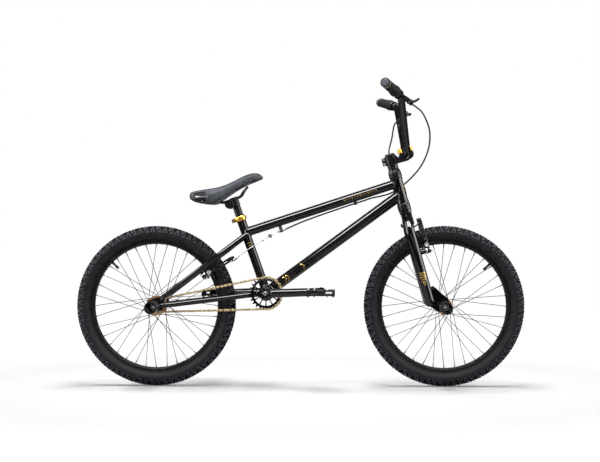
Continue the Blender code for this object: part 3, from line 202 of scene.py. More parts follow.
# (name, place, target, size, watts)
STREAK_BOXES = (
    ("top_streak", (0.1, -1.7, 3.3), (0, 0, 0.4), (4.4, 1.2), 470),
    ("front_streak", (0.2, -5.4, 0.45), (0.2, 0, 0.45), (3.6, 0.3), 8),
    ("left_streak", (-3.0, -2.1, 1.5), (0, 0, 0.4), (0.36, 2.8), 38),
    ("right_streak", (3.2, -2.1, 1.5), (0.3, 0, 0.4), (0.36, 2.8), 38),
    ("rear_edge", (-2.2, -0.3, 1.05), (0, -0.3, 1.05), (1.5, 2.0), 80),
    ("front_edge", (2.5, -0.3, 1.05), (0, -0.3, 1.05), (1.5, 2.0), 80),
    ("far_streak", (0.1, 2.4, 2.6), (0, 0, 0.4), (4.4, 0.6), 22),
)
MATT_BOXES = (
    ("sky", (0.0, 0.0, 3.2), (0, 0, 0), (1.2, 2.2), 100),
    ("front_fill", (0.2, -4.2, 2.4), (0, 0, 0.3), (2.6, 0.8), 16),
    ("far_fill", (0.5, 3.6, 2.0), (0, 0, 0.4), (2.4, 0.8), 8),
)
WORLD_LIGHT = 0.1
WORLD_SEEN = 1.0
FLOOR_HALF_SIZE = 40
FLOOR_LIT_TO = 0.75
FLOOR_GLOWS_FROM = 1.8
FLOOR_NEAR_COLOUR = (0.93, 0.93, 0.93)
FLOOR_FAR_COLOUR = (0.12, 0.12, 0.12)
FLOOR_GLOW = (0.12, 1.0)


def make_softbox(name, location, target, size, watts, streaks):
    """A soft box that either draws a streak on glossy surfaces or lights the matt ones."""
    data = bpy.data.lights.new(name, "AREA")
    data.shape = "RECTANGLE"
    data.size, data.size_y = size
    data.energy = watts
    light = bpy.data.objects.new(name, data)
    bpy.context.scene.collection.objects.link(light)
    light.location = location
    light.visible_glossy = streaks
    light.visible_diffuse = not streaks
    look_at(light, Vector(target))


def make_studio():
    """White floor and sky, and narrow soft boxes that draw long streaks along the tubes."""
    bpy.context.scene.view_settings.view_transform = "Standard"
    world = bpy.data.worlds.new("studio")
    world.use_nodes = True
    bpy.context.scene.world = world
    tree = world.node_tree
    rays = add_node(tree, "LightPath", {})
    strength = ranged(tree, rays.outputs["Is Camera Ray"], WORLD_LIGHT, WORLD_SEEN, 0, 1)
    fill(tree, tree.nodes["Background"], {"Strength": strength, "Color": (1, 1, 1, 1)})

    for box in STREAK_BOXES:
        make_softbox(*box, streaks=True)
    for box in MATT_BOXES:
        make_softbox(*box, streaks=False)

    bm = bmesh.new()
    bmesh.ops.create_grid(bm, x_segments=4, y_segments=4, size=FLOOR_HALF_SIZE)
    mesh = bpy.data.meshes.new("floor")
    bm.to_mesh(mesh)
    bm.free()
    floor = bpy.data.objects.new("floor", mesh)
    bpy.context.scene.collection.objects.link(floor)
    floor.data.materials.append(floor_surface())


# ------------------------------------------------------------------ materials
COAT_ROUGHNESS = 0.06


def new_material(name):
    material = bpy.data.materials.new(name)
    material.use_nodes = True
    tree = material.node_tree
    return material, tree, tree.nodes["Principled BSDF"]


def scaled(colour, factor):
    return tuple(min(1.0, value * factor) for value in colour)


def surface(name, colour, roughness, metallic=0.0, vary=0.2, patches=25.0, grain=900.0, depth=0.00004,
            coat=0.0, stretch=(1, 1, 1), shine=0.5):
    """A surface with uneven colour and gloss over large patches, and a fine grain in its height."""
    material, tree, shader = new_material(name)
    vector = mapped_coordinates(tree, stretch)
    large = noise(tree, vector, patches)
    fill(tree, shader, {
        "Base Color": mixed_colour(tree, large, scaled(colour, 1 - vary), scaled(colour, 1 + vary)),
        "Roughness": ranged(tree, large, roughness * 0.85, roughness * 1.15),
        "Normal": bumped(tree, noise(tree, vector, grain, 2.0), 0.5, depth),
        "Metallic": metallic,
        "Specular IOR Level": shine,
        "Coat Weight": coat,
        "Coat Roughness": COAT_ROUGHNESS,
    })
    return material


def leather_surface(name, colour, roughness, cell=420.0):
    """Grained vinyl: fine cells with creases between them."""
    material, tree, shader = new_material(name)
    vector = mapped_coordinates(tree)
    cells = add_node(tree, "TexVoronoi", {"Vector": vector, "Scale": cell}, feature="DISTANCE_TO_EDGE")
    large = noise(tree, vector, 30.0)
    fill(tree, shader, {
        "Base Color": mixed_colour(tree, large, scaled(colour, 0.8), scaled(colour, 1.2)),
        "Roughness": ranged(tree, large, roughness * 0.9, roughness * 1.1),
        "Normal": bumped(tree, cells.outputs["Distance"], 0.35, 0.0004),
        "Specular IOR Level": 0.12,
        "Sheen Weight": 0.15,
    })
    return material


def wound_surface(name, colour, roughness, metallic, rings):
    """Fine rings across a wire, their grooves darkened with painted shade."""
    material, tree, shader = new_material(name)
    wave = add_node(tree, "TexWave", {"Vector": mapped_coordinates(tree), "Scale": rings, "Distortion": 0.6},
                    bands_direction="DIAGONAL").outputs["Fac"]
    fill(tree, shader, {
        # the colour darkens where the rings dip: painted shade in the grooves
        "Base Color": mixed_colour(tree, wave, scaled(colour, 0.55), colour),
        "Roughness": ranged(tree, wave, roughness, roughness * 0.8),
        "Normal": bumped(tree, wave, 0.6, 0.0002),
        "Metallic": metallic,
    })
    return material


def floor_surface():
    """White floor that turns from lit to glowing away from the bike, and so ends in the white sky.

    The glow is for the camera only: gloss mirrors the dim floor, as in a dark studio.
    """
    material, tree, shader = new_material("floor")
    vector = mapped_coordinates(tree)
    distance = add_node(tree, "VectorMath", {0: vector}, operation="LENGTH")
    share = ranged(tree, distance.outputs["Value"], 0, 1, FLOOR_LIT_TO, FLOOR_GLOWS_FROM)
    rays = add_node(tree, "LightPath", {})
    glow = add_node(tree, "Math", {0: ranged(tree, share, *FLOOR_GLOW), 1: rays.outputs["Is Camera Ray"]},
                    operation="MULTIPLY")
    fill(tree, shader, {
        "Base Color": mixed_colour(tree, share, FLOOR_NEAR_COLOUR, FLOOR_FAR_COLOUR),
        "Roughness": ranged(tree, noise(tree, vector, 0.6), 0.85, 0.95),
        "Specular IOR Level": 0.0,
        "Emission Color": (1, 1, 1, 1),
        "Emission Strength": glow.outputs["Value"],
    })
    return material


# key: name, colour, roughness, and whatever is special about the surface
SURFACES = {
    "paint": ("paint", (0.0015, 0.0015, 0.0022), 0.32,
              dict(vary=0.3, patches=14, grain=160, depth=0.000001, coat=0.75, shine=0.04)),
    "weld": ("weld", (0.004, 0.004, 0.005), 0.28,
             dict(vary=0.4, patches=300, grain=1500, depth=0.00001, coat=0.5, shine=0.2)),
    "satin": ("satin_black", (0.01, 0.01, 0.012), 0.3,
              dict(metallic=0.2, grain=1600, depth=0.00001, shine=0.35)),
    "matt": ("matt_black", (0.012, 0.012, 0.013), 0.5, dict(grain=1200, shine=0.2)),
    "gold": ("gold", (0.66, 0.36, 0.06), 0.3, dict(metallic=1.0, vary=0.1, grain=1500, depth=0.000002)),
    "ink": ("gold_ink", (0.52, 0.33, 0.1), 0.32, dict(metallic=0.7, vary=0.25, patches=160)),
    "steel": ("steel", (0.56, 0.56, 0.57), 0.26, dict(metallic=1.0, stretch=(1, 6, 1))),
    "dark_steel": ("dark_steel", (0.2, 0.2, 0.21), 0.3, dict(metallic=1.0, grain=1100)),
    "chain": ("chain_plate", (0.72, 0.56, 0.33), 0.3, dict(metallic=1.0, vary=0.3, patches=220)),
    # the inner plates and rollers are a darker bronze: partly a two-tone chain, partly painted shade for the
    # dark between the outer plates
    "inner_link_shade": ("chain_inner", (0.3, 0.22, 0.12), 0.4, dict(metallic=1.0, vary=0.3, patches=220)),
    "copper": ("copper", (0.5, 0.27, 0.15), 0.28, dict(metallic=1.0, stretch=(1, 5, 1))),
    "tyre": ("tyre_wall", (0.017, 0.0175, 0.021), 0.62,
             dict(vary=0.25, patches=40, grain=1400, depth=0.0001, shine=0.15)),
    "tread": ("tyre_tread", (0.058, 0.06, 0.076), 0.7,
              dict(vary=0.35, patches=260, grain=1800, depth=0.00012, shine=0.12)),
    # the tread band's casing and the knobs' lower sides are painted darker than the wall: painted shade in
    # the recesses between the knobs
    "groove": ("tyre_groove", (0.005, 0.005, 0.006), 0.85,
               dict(vary=0.3, patches=200, grain=1400, shine=0.1)),
    "rim": ("rim", (0.006, 0.006, 0.007), 0.3, dict(metallic=0.1, grain=1200, shine=0.3)),
    "spoke": ("spoke", (0.035, 0.035, 0.037), 0.45,
              dict(metallic=0.3, patches=90, depth=0.00001, shine=0.2)),
    "grip": ("grip_rubber", (0.02, 0.024, 0.025), 0.72,
             dict(vary=0.3, patches=120, grain=1500, depth=0.00012, shine=0.12)),
    "plug": ("grip_plug", (0.17, 0.18, 0.24), 0.45, dict(vary=0.15, patches=100, shine=0.2)),
    "beige": ("grip_ring", (0.6, 0.5, 0.36), 0.4, dict(patches=120)),
    "silver_ink": ("silver_ink", (0.5, 0.51, 0.53), 0.35, dict(metallic=0.6, vary=0.15, patches=150)),
    "cable": ("cable_sleeve", (0.01, 0.01, 0.011), 0.34, dict(vary=0.25, patches=60, shine=0.3)),
    "pad": ("brake_rubber", (0.02, 0.02, 0.02), 0.85,
            dict(vary=0.3, patches=200, depth=0.0001, shine=0.12)),
}


def make_materials():
    materials = {key: surface(*look, **special) for key, (*look, special) in SURFACES.items()}
    materials["vinyl"] = leather_surface("saddle_vinyl", (0.15, 0.158, 0.19), 0.5)
    materials["side_vinyl"] = leather_surface("saddle_side", (0.012, 0.012, 0.014), 0.5, 520.0)
    materials["wire"] = wound_surface("wire", (0.34, 0.34, 0.35), 0.4, 1.0, 900.0)
    return materials


# ------------------------------------------------------------------ modelling tools
def turns(count):
    """The angles of a full turn in equal steps."""
    return [2 * pi * i / count for i in range(count)]


def circle(centre, first, second, radius, count):
    """Points round a centre, in the plane of two vectors."""
    return [centre + radius * (cos(a) * first + sin(a) * second) for a in turns(count)]


def outward(turn):
    """The way out from an axle at an angle from straight ahead."""
    return Vector((cos(turn), 0, sin(turn)))


def add_loft(bm, loops, mat=0, closed=False):
    """Skin a row of loops that have the same number of points, and cap both ends unless it is closed."""
    rings = [[bm.verts.new(point) for point in loop] for loop in loops]
    count = len(loops[0])
    pairs = list(zip(rings, rings[1:]))
    if closed:
        pairs.append((rings[-1], rings[0]))
    faces = []
    for first, second in pairs:
        for i in range(count):
            j = (i + 1) % count
            faces.append(bm.faces.new((first[i], first[j], second[j], second[i])))
    if not closed:
        faces.append(bm.faces.new(rings[0][::-1]))
        faces.append(bm.faces.new(rings[-1]))
    for face in faces:
        face.material_index = mat
    return faces


def cross_axes(axis):
    """Two unit vectors square to an axis; the first stays as level as it can."""
    hint = Y_AXIS if abs(axis.dot(Y_AXIS)) < 0.9 else Z_AXIS
    first = (hint - hint.dot(axis) * axis).normalized()
    return first, axis.cross(first)


def round_radius(_):
    return 1.0


def hexagon_radius(angle):
    """Reach of a hexagon, whose flats are one away, in the direction of the angle."""
    return 1 / cos((angle + pi / 6) % (pi / 3) - pi / 6)


def add_turned(bm, origin, axis, stations, mat=0, sides=40, shapes=None):
    """A turned shape; stations are (distance along the axis, radius), and shapes can name hexagons."""
    axis = Vector(axis).normalized()
    first, second = cross_axes(axis)
    shapes = shapes or [round_radius] * len(stations)
    loops = []
    for (along, radius), shape in zip(stations, shapes):
        loop = []
        for angle in turns(sides):
            out = cos(angle) * first + sin(angle) * second
            loop.append(origin + along * axis + radius * shape(angle) * out)
        loops.append(loop)
    add_loft(bm, loops, mat)


def add_rod(bm, start, end, radius, mat=0, sides=24, edge=0.0006):
    """A cylinder with a small chamfer at each end."""
    length = (end - start).length
    edge = min(edge, radius * 0.4, length * 0.3)
    stations = [(0, radius - edge), (edge, radius), (length - edge, radius), (length, radius - edge)]
    add_turned(bm, start, end - start, stations, mat, sides)


def add_ring(bm, origin, axis, profile, mat=0, sides=48):
    """A closed outline of (radius, distance along) turned about an axis."""
    axis = Vector(axis).normalized()
    loops = []
    for out in circle(Vector(), *cross_axes(axis), 1, sides):
        loops.append([origin + radius * out + along * axis for radius, along in profile])
    return add_loft(bm, loops, mat, closed=True)


def rounded_path(corners, radius, steps=8):
    """A polyline whose inner corners are replaced by arcs of about the given radius."""
    path = [corners[0]]
    for before, corner, after in zip(corners, corners[1:], corners[2:]):
        back = (before - corner).normalized()
        ahead = (after - corner).normalized()
        turn = pi - back.angle(ahead)
        reach = min(radius * tan(turn / 2), 0.45 * (before - corner).length,
                    0.45 * (after - corner).length)
        for i in range(steps + 1):
            s = i / steps
            start = corner + back * reach
            end = corner + ahead * reach
            path.append((1 - s) ** 2 * start + 2 * s * (1 - s) * corner + s ** 2 * end)
    path.append(corners[-1])
    return path


def smooth_route(points, spacing):
    """Evenly spaced points on a smooth curve through the route's own points."""
    dense = []
    padded = [2 * points[0] - points[1]] + points + [2 * points[-1] - points[-2]]
    for p0, p1, p2, p3 in zip(padded, padded[1:], padded[2:], padded[3:]):
        for i in range(24):
            s = i / 24
            dense.append(0.5 * ((2 * p1) + (p2 - p0) * s + (2 * p0 - 5 * p1 + 4 * p2 - p3) * s ** 2
                                + (3 * p1 - p0 - 3 * p2 + p3) * s ** 3))
    dense.append(points[-1])
    lengths = [0.0]
    for before, after in zip(dense, dense[1:]):
        lengths.append(lengths[-1] + (after - before).length)
    count = max(2, round(lengths[-1] / spacing))
    route = []
    index = 0
    for i in range(count + 1):
        wanted = lengths[-1] * i / count
        while index < len(dense) - 2 and lengths[index + 1] < wanted:
            index += 1
        share = (wanted - lengths[index]) / (lengths[index + 1] - lengths[index])
        route.append(dense[index].lerp(dense[index + 1], share))
    return route


def path_frames(path):
    """Two vectors square to the path at each point, turned as little as possible."""
    tangents = []
    for i in range(len(path)):
        back = path[max(i - 1, 0)]
        ahead = path[min(i + 1, len(path) - 1)]
        tangents.append((ahead - back).normalized())
    first, _ = cross_axes(tangents[0])
    frames = []
    for tangent in tangents:
        first = (first - first.dot(tangent) * tangent).normalized()
        frames.append((first, tangent.cross(first)))
    return frames


def add_tube(bm, path, radius, mat=0, sides=24, bore=None):
    """A bar swept along a path; radius can be a list, and a bore makes it an open pipe."""
    radii = radius if isinstance(radius, (list, tuple)) else [radius] * len(path)
    outer, inner = [], []
    for point, size, square in zip(path, radii, path_frames(path)):
        outer.append(circle(point, *square, size, sides))
        if bore:
            inner.append(circle(point, *square, bore, sides))
    add_loft(bm, outer + inner[::-1], mat, closed=bool(bore))


def rounded_outline(corners, radius, steps=4):
    """A flat outline of (a, b) corners with its corners rounded."""
    outline = []
    count = len(corners)
    for i in range(count):
        before, corner, after = (Vector(corners[k % count]) for k in (i - 1, i, i + 1))
        back, ahead = (before - corner), (after - corner)
        reach = min(radius, 0.45 * back.length, 0.45 * ahead.length)
        start = corner + back.normalized() * reach
        end = corner + ahead.normalized() * reach
        for k in range(steps + 1):
            s = k / steps
            outline.append((1 - s) ** 2 * start + 2 * s * (1 - s) * corner + s ** 2 * end)
    return outline


def inset_outline(outline, distance):
    """Each point moved towards the inside of the outline."""
    count = len(outline)
    area = sum(outline[i - 1].cross(outline[i]) for i in range(count))
    turn = 1 if area > 0 else -1
    moved = []
    for i in range(count):
        along = (outline[(i + 1) % count] - outline[i - 1]).normalized()
        moved.append(outline[i] + turn * distance * Vector((-along.y, along.x)))
    return moved


def add_plate(bm, corners, place, low, high, radius=0.002, edge=0.0005, mat=0, steps=4):
    """A plate with rounded corners and chamfered edges; place(a, b, h) gives its world points."""
    outline = rounded_outline(corners, radius, steps)
    inner = inset_outline(outline, edge)
    way = 1 if high > low else -1
    layers = [(inner, low), (outline, low + way * edge), (outline, high - way * edge), (inner, high)]
    add_loft(bm, [[place(a, b, height) for a, b in flat] for flat, height in layers], mat)


def add_block(bm, centre, axes, half_sizes, mat=0, radius=0.0015, edge=0.0006):
    """A block with rounded edges: half sizes are along the three axes from the centre."""
    a, b, c = half_sizes
    first, second, third = (Vector(axis).normalized() for axis in axes)

    def place(u, v, h):
        return centre + u * first + v * second + h * third

    add_plate(bm, [(-a, -b), (a, -b), (a, b), (-a, b)], place, -c, c, radius, edge, mat)


def add_bolt(bm, seat_point, axis, radius, height, mat=0):
    """A socket head with its hexagon recess."""
    stations = [(0, radius), (height * 0.75, radius), (height, radius * 0.82), (height, radius * 0.62),
                (height * 0.92, radius * 0.5), (height * 0.35, radius * 0.5)]
    shapes = [round_radius] * 4 + [hexagon_radius] * 2
    add_turned(bm, seat_point, axis, stations, mat, 24, shapes)


def add_nut(bm, seat_point, axis, flat, height, mat=0):
    """A hexagon nut with a washer under it."""
    add_turned(bm, seat_point, axis, [(0, flat * 1.22), (0.0012, flat * 1.22), (0.0012, flat * 0.9)], mat, 36)
    stations = [(0.001, flat), (height - 0.0012, flat), (height, flat * 0.86)]
    add_turned(bm, seat_point, axis, stations, mat, 36, [hexagon_radius, hexagon_radius, round_radius])


def meeting_loop(start, way, radius, other_point, other_way, other_radius, count=72):
    """Where a tube that runs along way first comes out of another tube's surface."""
    slope = way - way.dot(other_way) * other_way
    loop = []
    for point in circle(start, *cross_axes(way), radius, count):
        across = (point - other_point) - (point - other_point).dot(other_way) * other_way
        a, b, c = slope.dot(slope), 2 * across.dot(slope), across.dot(across) - other_radius ** 2
        root = max(0.0, b * b - 4 * a * c)
        loop.append(point + way * ((-b + sqrt(root)) / (2 * a)))
    return loop


RIPPLE_LENGTH = 0.0032
STEPS_PER_RIPPLE = 4


def add_weld(bm, loop, size=0.0022, mat=1):
    """A bead with the ripples of hand welding along a closed loop."""
    dense = []
    length = sum((loop[i] - loop[i - 1]).length for i in range(len(loop)))
    steps = max(12, round(length / RIPPLE_LENGTH)) * STEPS_PER_RIPPLE
    for i in range(steps):
        place = i * len(loop) / steps
        index = int(place)
        dense.append(loop[index].lerp(loop[(index + 1) % len(loop)], place - index))
    loops = []
    for i, point in enumerate(dense):
        tangent = (dense[(i + 1) % steps] - dense[i - 1]).normalized()
        ripple = size * (0.82 + 0.26 * abs(sin(pi * i / STEPS_PER_RIPPLE)))
        loops.append(circle(point, *cross_axes(tangent), ripple, 6))
    add_loft(bm, loops, mat, closed=True)


INK_LIFT = 0.00015


def add_patch(bm, corners, start, way, facing, radius, steps=6):
    """Ink on a round tube: four (along, across) corners, wrapped round the side that it faces."""
    side = way.cross(facing)
    grid = []
    for i in range(steps + 1):
        row = []
        for k in range(steps + 1):
            s, t = i / steps, k / steps
            low = Vector(corners[0]).lerp(Vector(corners[1]), s)
            high = Vector(corners[3]).lerp(Vector(corners[2]), s)
            along, across = low.lerp(high, t)
            angle = across / radius
            out = cos(angle) * facing + sin(angle) * side
            row.append(bm.verts.new(start + along * way + (radius + INK_LIFT) * out))
        grid.append(row)
    for i in range(steps):
        for k in range(steps):
            face = bm.faces.new((grid[i][k], grid[i + 1][k], grid[i + 1][k + 1], grid[i][k + 1]))
            face.normal_update()
            middle = face.calc_center_median() - start
            if face.normal.dot(middle - middle.dot(way) * way) < 0:
                face.normal_flip()


def make_piece(name, bm, materials, body, stands_for=(), angle=35, solid=True):
    """Turn the mesh into a named piece that rides on a body, if one is given."""
    if solid:
        bmesh.ops.recalc_face_normals(bm, faces=bm.faces)
    mesh = bpy.data.meshes.new(name)
    bm.to_mesh(mesh)
    bm.free()
    obj = bpy.data.objects.new(name, mesh)
    bpy.context.scene.collection.objects.link(obj)
    for material in materials:
        mesh.materials.append(MATERIALS[material])
    mesh.shade_smooth()
    mesh.set_sharp_from_angle(angle=radians(angle))
    if body:
        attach(obj, body)
    if stands_for:
        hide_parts(*stands_for)
    return obj


# ------------------------------------------------------------------ frame
SEATSTAY_CORNERS = ((-0.169, 0.009, 0.48), (-0.244, 0.0385, 0.4229), (-0.325, 0.047, 0.3615),
                    (-0.4405, 0.0575, 0.274))
CHAINSTAY_CORNERS = ((-0.1051, 0.02, 0.295), (-0.165, 0.029, 0.289), (-0.225, 0.041, 0.2815),
                     (-0.4, 0.0575, 0.2605), (-0.435, 0.0575, 0.257))
REAR_PLATE = ((-0.478, 0.238), (-0.456, 0.2335), (-0.433, 0.2435), (-0.419, 0.2545),
              (-0.424, 0.274), (-0.438, 0.285), (-0.456, 0.279), (-0.48, 0.269))
FRONT_PLATE = ((0.406, 0.261), (0.424, 0.245), (0.448, 0.2355), (0.469, 0.24), (0.4745, 0.26),
               (0.469, 0.279), (0.442, 0.3), (0.424, 0.318), (0.409, 0.3))
LEG_CORNERS = ((-0.079, 0.0, 0.009), (-0.101, -0.002, 0.035), (-0.128, LEG_SETBACK, LEG_OFFSET),
               (-0.364, LEG_SETBACK, LEG_OFFSET))
DROPOUT_WELDS = ((-0.433, 0.0578, 0.279), (-0.427, 0.0578, 0.26))
STAY_BRIDGES = ((-0.196, 0.022, 0.4593), (-0.172, 0.03, 0.2882))
BRIDGE_RADIUS = 0.0065
GUIDE_LENGTH = 0.01
HOUSING_DROP = TOP_TUBE_RADIUS + 0.005
GUIDE_X = 0.177
STOP_X = -0.0526
STOP_DROP = 0.03
BRAKES = {
    "front": (joint_point("front_left_arm_close") * Vector((1, 0, 1)), STEER_UP, STEER_FORWARD),
    "rear": (joint_point("rear_left_arm_close") * Vector((1, 0, 1)),
             Vector((0.848, 0, 0.53)), Vector((0.53, 0, -0.848))),
}
PIVOT_TO_SIDE = 0.042


def brake_point(end, along, out, side):
    pivot, arm_way, pin_way = BRAKES[end]
    return pivot + along * arm_way + out * pin_way + side * Y_AXIS


def add_boss(bm, end, side, root_out):
    base = brake_point(end, 0, root_out, side * PIVOT_TO_SIDE)
    shoulder = -0.0075 - root_out
    add_turned(bm, base, BRAKES[end][2],
               [(0, 0.0085), (shoulder - 0.004, 0.0078), (shoulder, 0.007), (shoulder, 0.0042),
                (0.0095 - root_out, 0.0042)], 0, 24)


def add_dropout(bm, corners, faces, side):
    """The plate that holds an axle on one side, between its inner and outer face."""
    add_plate(bm, corners, lambda x, z, y: Vector((x, side * y, z)), *faces, 0.006, 0.0008)


def make_frame():
    bm = bmesh.new()
    add_turned(bm, HEAD_CENTRE, STEER_UP,
               [(-0.04, 0.0184), (-0.0394, 0.0196), (-0.0345, 0.0196), (-0.0315, HEAD_TUBE_RADIUS),
                (0.0325, HEAD_TUBE_RADIUS), (0.0355, 0.0196), (0.0406, 0.0196), (0.0412, 0.0184)], 0, 64)
    half = SHELL_HALF_WIDTH
    add_ring(bm, BOTTOM_BRACKET, Y_AXIS,
             [(0.0208, -half), (0.024, -half), (0.0246, -half + 0.0006), (0.0246, half - 0.0006),
              (0.024, half), (0.0208, half)], 0, 64)
    add_rod(bm, BOTTOM_BRACKET + SEAT_UP * TUBE_ROOT, seat(SEAT_TUBE_LENGTH), SEAT_TUBE_RADIUS, 0, 48)
    add_rod(bm, *TOP_TUBE, TOP_TUBE_RADIUS, 0, 48)
    add_rod(bm, DOWN_TUBE[0] + DOWN_TUBE_WAY * TUBE_ROOT, DOWN_TUBE[1], DOWN_TUBE_RADIUS, 0, 48)
    for side in SIDES:
        seat_stay = rounded_path([mirrored(point, side) for point in SEATSTAY_CORNERS], 0.12)
        chain_stay = rounded_path([mirrored(point, side) for point in CHAINSTAY_CORNERS], 0.1)
        for path in (seat_stay, chain_stay):
            taper = [STAY_RADIUS * (1 - 0.12 * i / (len(path) - 1)) for i in range(len(path))]
            add_tube(bm, path, taper, 0, 28)
        add_dropout(bm, REAR_PLATE, REAR_DROPOUT, side)
        add_boss(bm, "rear", side, -0.022)
        for x, y, z in DROPOUT_WELDS:
            centre = Vector((x, side * y, z))
            add_weld(bm, circle(centre, Y_AXIS, Z_AXIS * 0.8 + X_AXIS * 0.3, 0.0098, 24), 0.0016)
    for end in STAY_BRIDGES:
        add_rod(bm, mirrored(end, RIGHT), Vector(end), BRIDGE_RADIUS, 0, 24)
    length = GUIDE_LENGTH
    for x, drop in ((GUIDE_X, HOUSING_DROP), (STOP_X - 0.0055, STOP_DROP)):
        centre = below_top_tube(x, drop)
        reach = drop - TOP_TUBE_RADIUS
        add_ring(bm, centre, TOP_TUBE_WAY,
                 [(0.0028, -length / 2), (0.0046, -length / 2), (0.005, 0), (0.0046, length / 2),
                  (0.0028, length / 2)], 0, 28)
        add_block(bm, centre - TOP_TUBE_UNDER * (reach / 2 + 0.0014), (TOP_TUBE_WAY, Y_AXIS, TOP_TUBE_UNDER),
                  (length / 2, 0.0038, reach / 2 - 0.0006), 0, 0.0012, 0.0004)
    for joint in (
            (TOP_TUBE[1], -TOP_TUBE_WAY, TOP_TUBE_RADIUS, HEAD_CENTRE, STEER_UP, HEAD_TUBE_RADIUS),
            (DOWN_TUBE[1], -DOWN_TUBE_WAY, DOWN_TUBE_RADIUS, HEAD_CENTRE, STEER_UP, HEAD_TUBE_RADIUS),
            (TOP_TUBE[0] + TOP_TUBE_WAY * 0.02, TOP_TUBE_WAY, TOP_TUBE_RADIUS, BOTTOM_BRACKET, SEAT_UP,
             SEAT_TUBE_RADIUS),
            (BOTTOM_BRACKET, DOWN_TUBE_WAY, DOWN_TUBE_RADIUS, BOTTOM_BRACKET, Y_AXIS, SHELL_RADIUS),
            (BOTTOM_BRACKET, SEAT_UP, SEAT_TUBE_RADIUS, BOTTOM_BRACKET, Y_AXIS, SHELL_RADIUS)):
        add_weld(bm, meeting_loop(*joint))
    make_piece("frame_tubes", bm, ["paint", "weld"], "frame", ["frame"])


def make_head_badge():
    """A plain shield on the front of the head tube."""
    bm = bmesh.new()
    corners = [(-0.017, -0.0015), (-0.01, -0.0085), (0.014, -0.0105), (0.014, 0.0105), (-0.01, 0.0085),
               (-0.017, 0.0015)]
    outline = rounded_outline(corners, 0.003)

    def wrapped(a, b, height):
        angle = b / HEAD_TUBE_RADIUS
        reach = HEAD_TUBE_RADIUS + height
        return steer(a + 0.002, reach * cos(angle), reach * sin(angle))

    for shrink, low, high, mat in ((0, -0.0004, 0.001, 0), (0.0028, 0.0009, 0.0014, 1)):
        flat = inset_outline(outline, shrink) if shrink else outline
        middle = sum((Vector(point) for point in flat), Vector((0, 0))) / len(flat)
        layers = [[wrapped(a, b, low) for a, b in flat], [wrapped(a, b, high) for a, b in flat]]
        for share in (0.66, 0.33, 0.04):
            layers.append([wrapped(*(middle.lerp(Vector(point), share)), high) for point in flat])
        add_loft(bm, layers, mat)
    make_piece("head_badge", bm, ["gold", "paint"], "frame")


def make_frame_marks():
    """Plain gold bars and arrowheads in place of the maker's lettering."""
    bm = bmesh.new()
    near = -Y_AXIS
    for i in range(13):
        along = 0.33 + i * 0.0088
        tall = 0.0034 if i % 3 else 0.0054
        add_patch(bm, [(along, -tall / 2), (along + 0.005, -tall / 2), (along + 0.0066, tall / 2),
                       (along + 0.0016, tall / 2)], TOP_TUBE[0], TOP_TUBE_WAY, near, TOP_TUBE_RADIUS, steps=3)
    for along in (0.076, 0.086, 0.146):
        for flip in (1, -1):
            corners = [(along, 0.0), (along + 0.0042, 0.0), (along - 0.003, flip * 0.011),
                       (along - 0.0072, flip * 0.011)]
            add_patch(bm, corners, DOWN_TUBE[0], DOWN_TUBE_WAY, near, DOWN_TUBE_RADIUS)
    for along in (0.15, 0.158, 0.166):
        add_patch(bm, [(along, -0.005), (along + 0.003, -0.005), (along + 0.003, 0.007), (along, 0.007)],
                  BOTTOM_BRACKET, SEAT_UP, near, SEAT_TUBE_RADIUS)
    make_piece("frame_marks", bm, ["ink"], "frame", solid=False)


def make_seat_clamp():
    bm = bmesh.new()
    low, high = 0.2428, 0.2572
    inner = SEAT_TUBE_RADIUS + 0.0002
    profile = [(inner, low), (0.0174, low), (0.0182, low + 0.0012), (0.0182, high - 0.0012), (0.0174, high),
               (inner, high)]
    add_ring(bm, BOTTOM_BRACKET, SEAT_UP, profile, 0, 64)
    middle = (low + high) / 2
    for side in SIDES:
        add_block(bm, seat(middle, -0.0225, side * 0.0044), (SEAT_FORWARD, SEAT_UP, Y_AXIS),
                  (0.0068, 0.0062, 0.0033), 0, 0.0025, 0.0006)
    add_bolt(bm, seat(middle, -0.0242, -0.0077), -Y_AXIS, 0.0042, 0.0046, 1)
    add_nut(bm, seat(middle, -0.0242, 0.0077), Y_AXIS, 0.0036, 0.0032, 1)
    make_piece("seat_clamp_band", bm, ["gold", "dark_steel"], "frame", ["seat_clamp", "seat_clamp_bolt"])


def make_headset():
    bm = bmesh.new()
    for shoulder, tip, way in ((0.0415, 0.056, 1), (-0.0403, -0.0652, -1)):
        middle = (shoulder + tip) / 2
        add_turned(bm, HEAD_CENTRE, STEER_UP,
                   [(shoulder, 0.0192), (shoulder + way * 0.0015, 0.0199), (shoulder + way * 0.0045, 0.0205),
                    (middle + way * 0.001, 0.0206), (tip - way * 0.002, 0.0205),
                    (tip - way * 0.0012, 0.0198), (tip - way * 0.0006, 0.0205), (tip, 0.0203)], 0, 64)
    make_piece("headset_cups", bm, ["satin"], "frame", ["headset_upper_cup", "headset_lower_cup"])
    bm = bmesh.new()
    add_turned(bm, HEAD_CENTRE, STEER_UP,
               [(0.0564, 0.0203), (0.057, 0.0205), (0.0606, 0.0205), (0.0622, 0.0198), (0.069, 0.0174),
                (0.0712, 0.017), (0.0715, 0.0164)], 0, 64)
    add_turned(bm, HEAD_CENTRE, STEER_UP,
               [(0.0718, 0.0162), (0.0724, 0.0168), (0.0855, 0.0168), (0.0861, 0.0162)], 0, 64)
    add_turned(bm, HEAD_CENTRE, STEER_UP,
               [(0.1, 0.0105), (0.1161, 0.0105), (0.1163, 0.0153), (0.1185, 0.0157), (0.1212, 0.015),
                (0.1225, 0.0135), (0.1225, 0.0082), (0.1218, 0.0078), (0.1195, 0.0078), (0.119, 0.0044),
                (0.11, 0.004)], 0, 64)
    make_piece("headset_top", bm, ["satin"], "steering", ["headset_cover", "headset_spacer",
               "stem_top_bolt"])


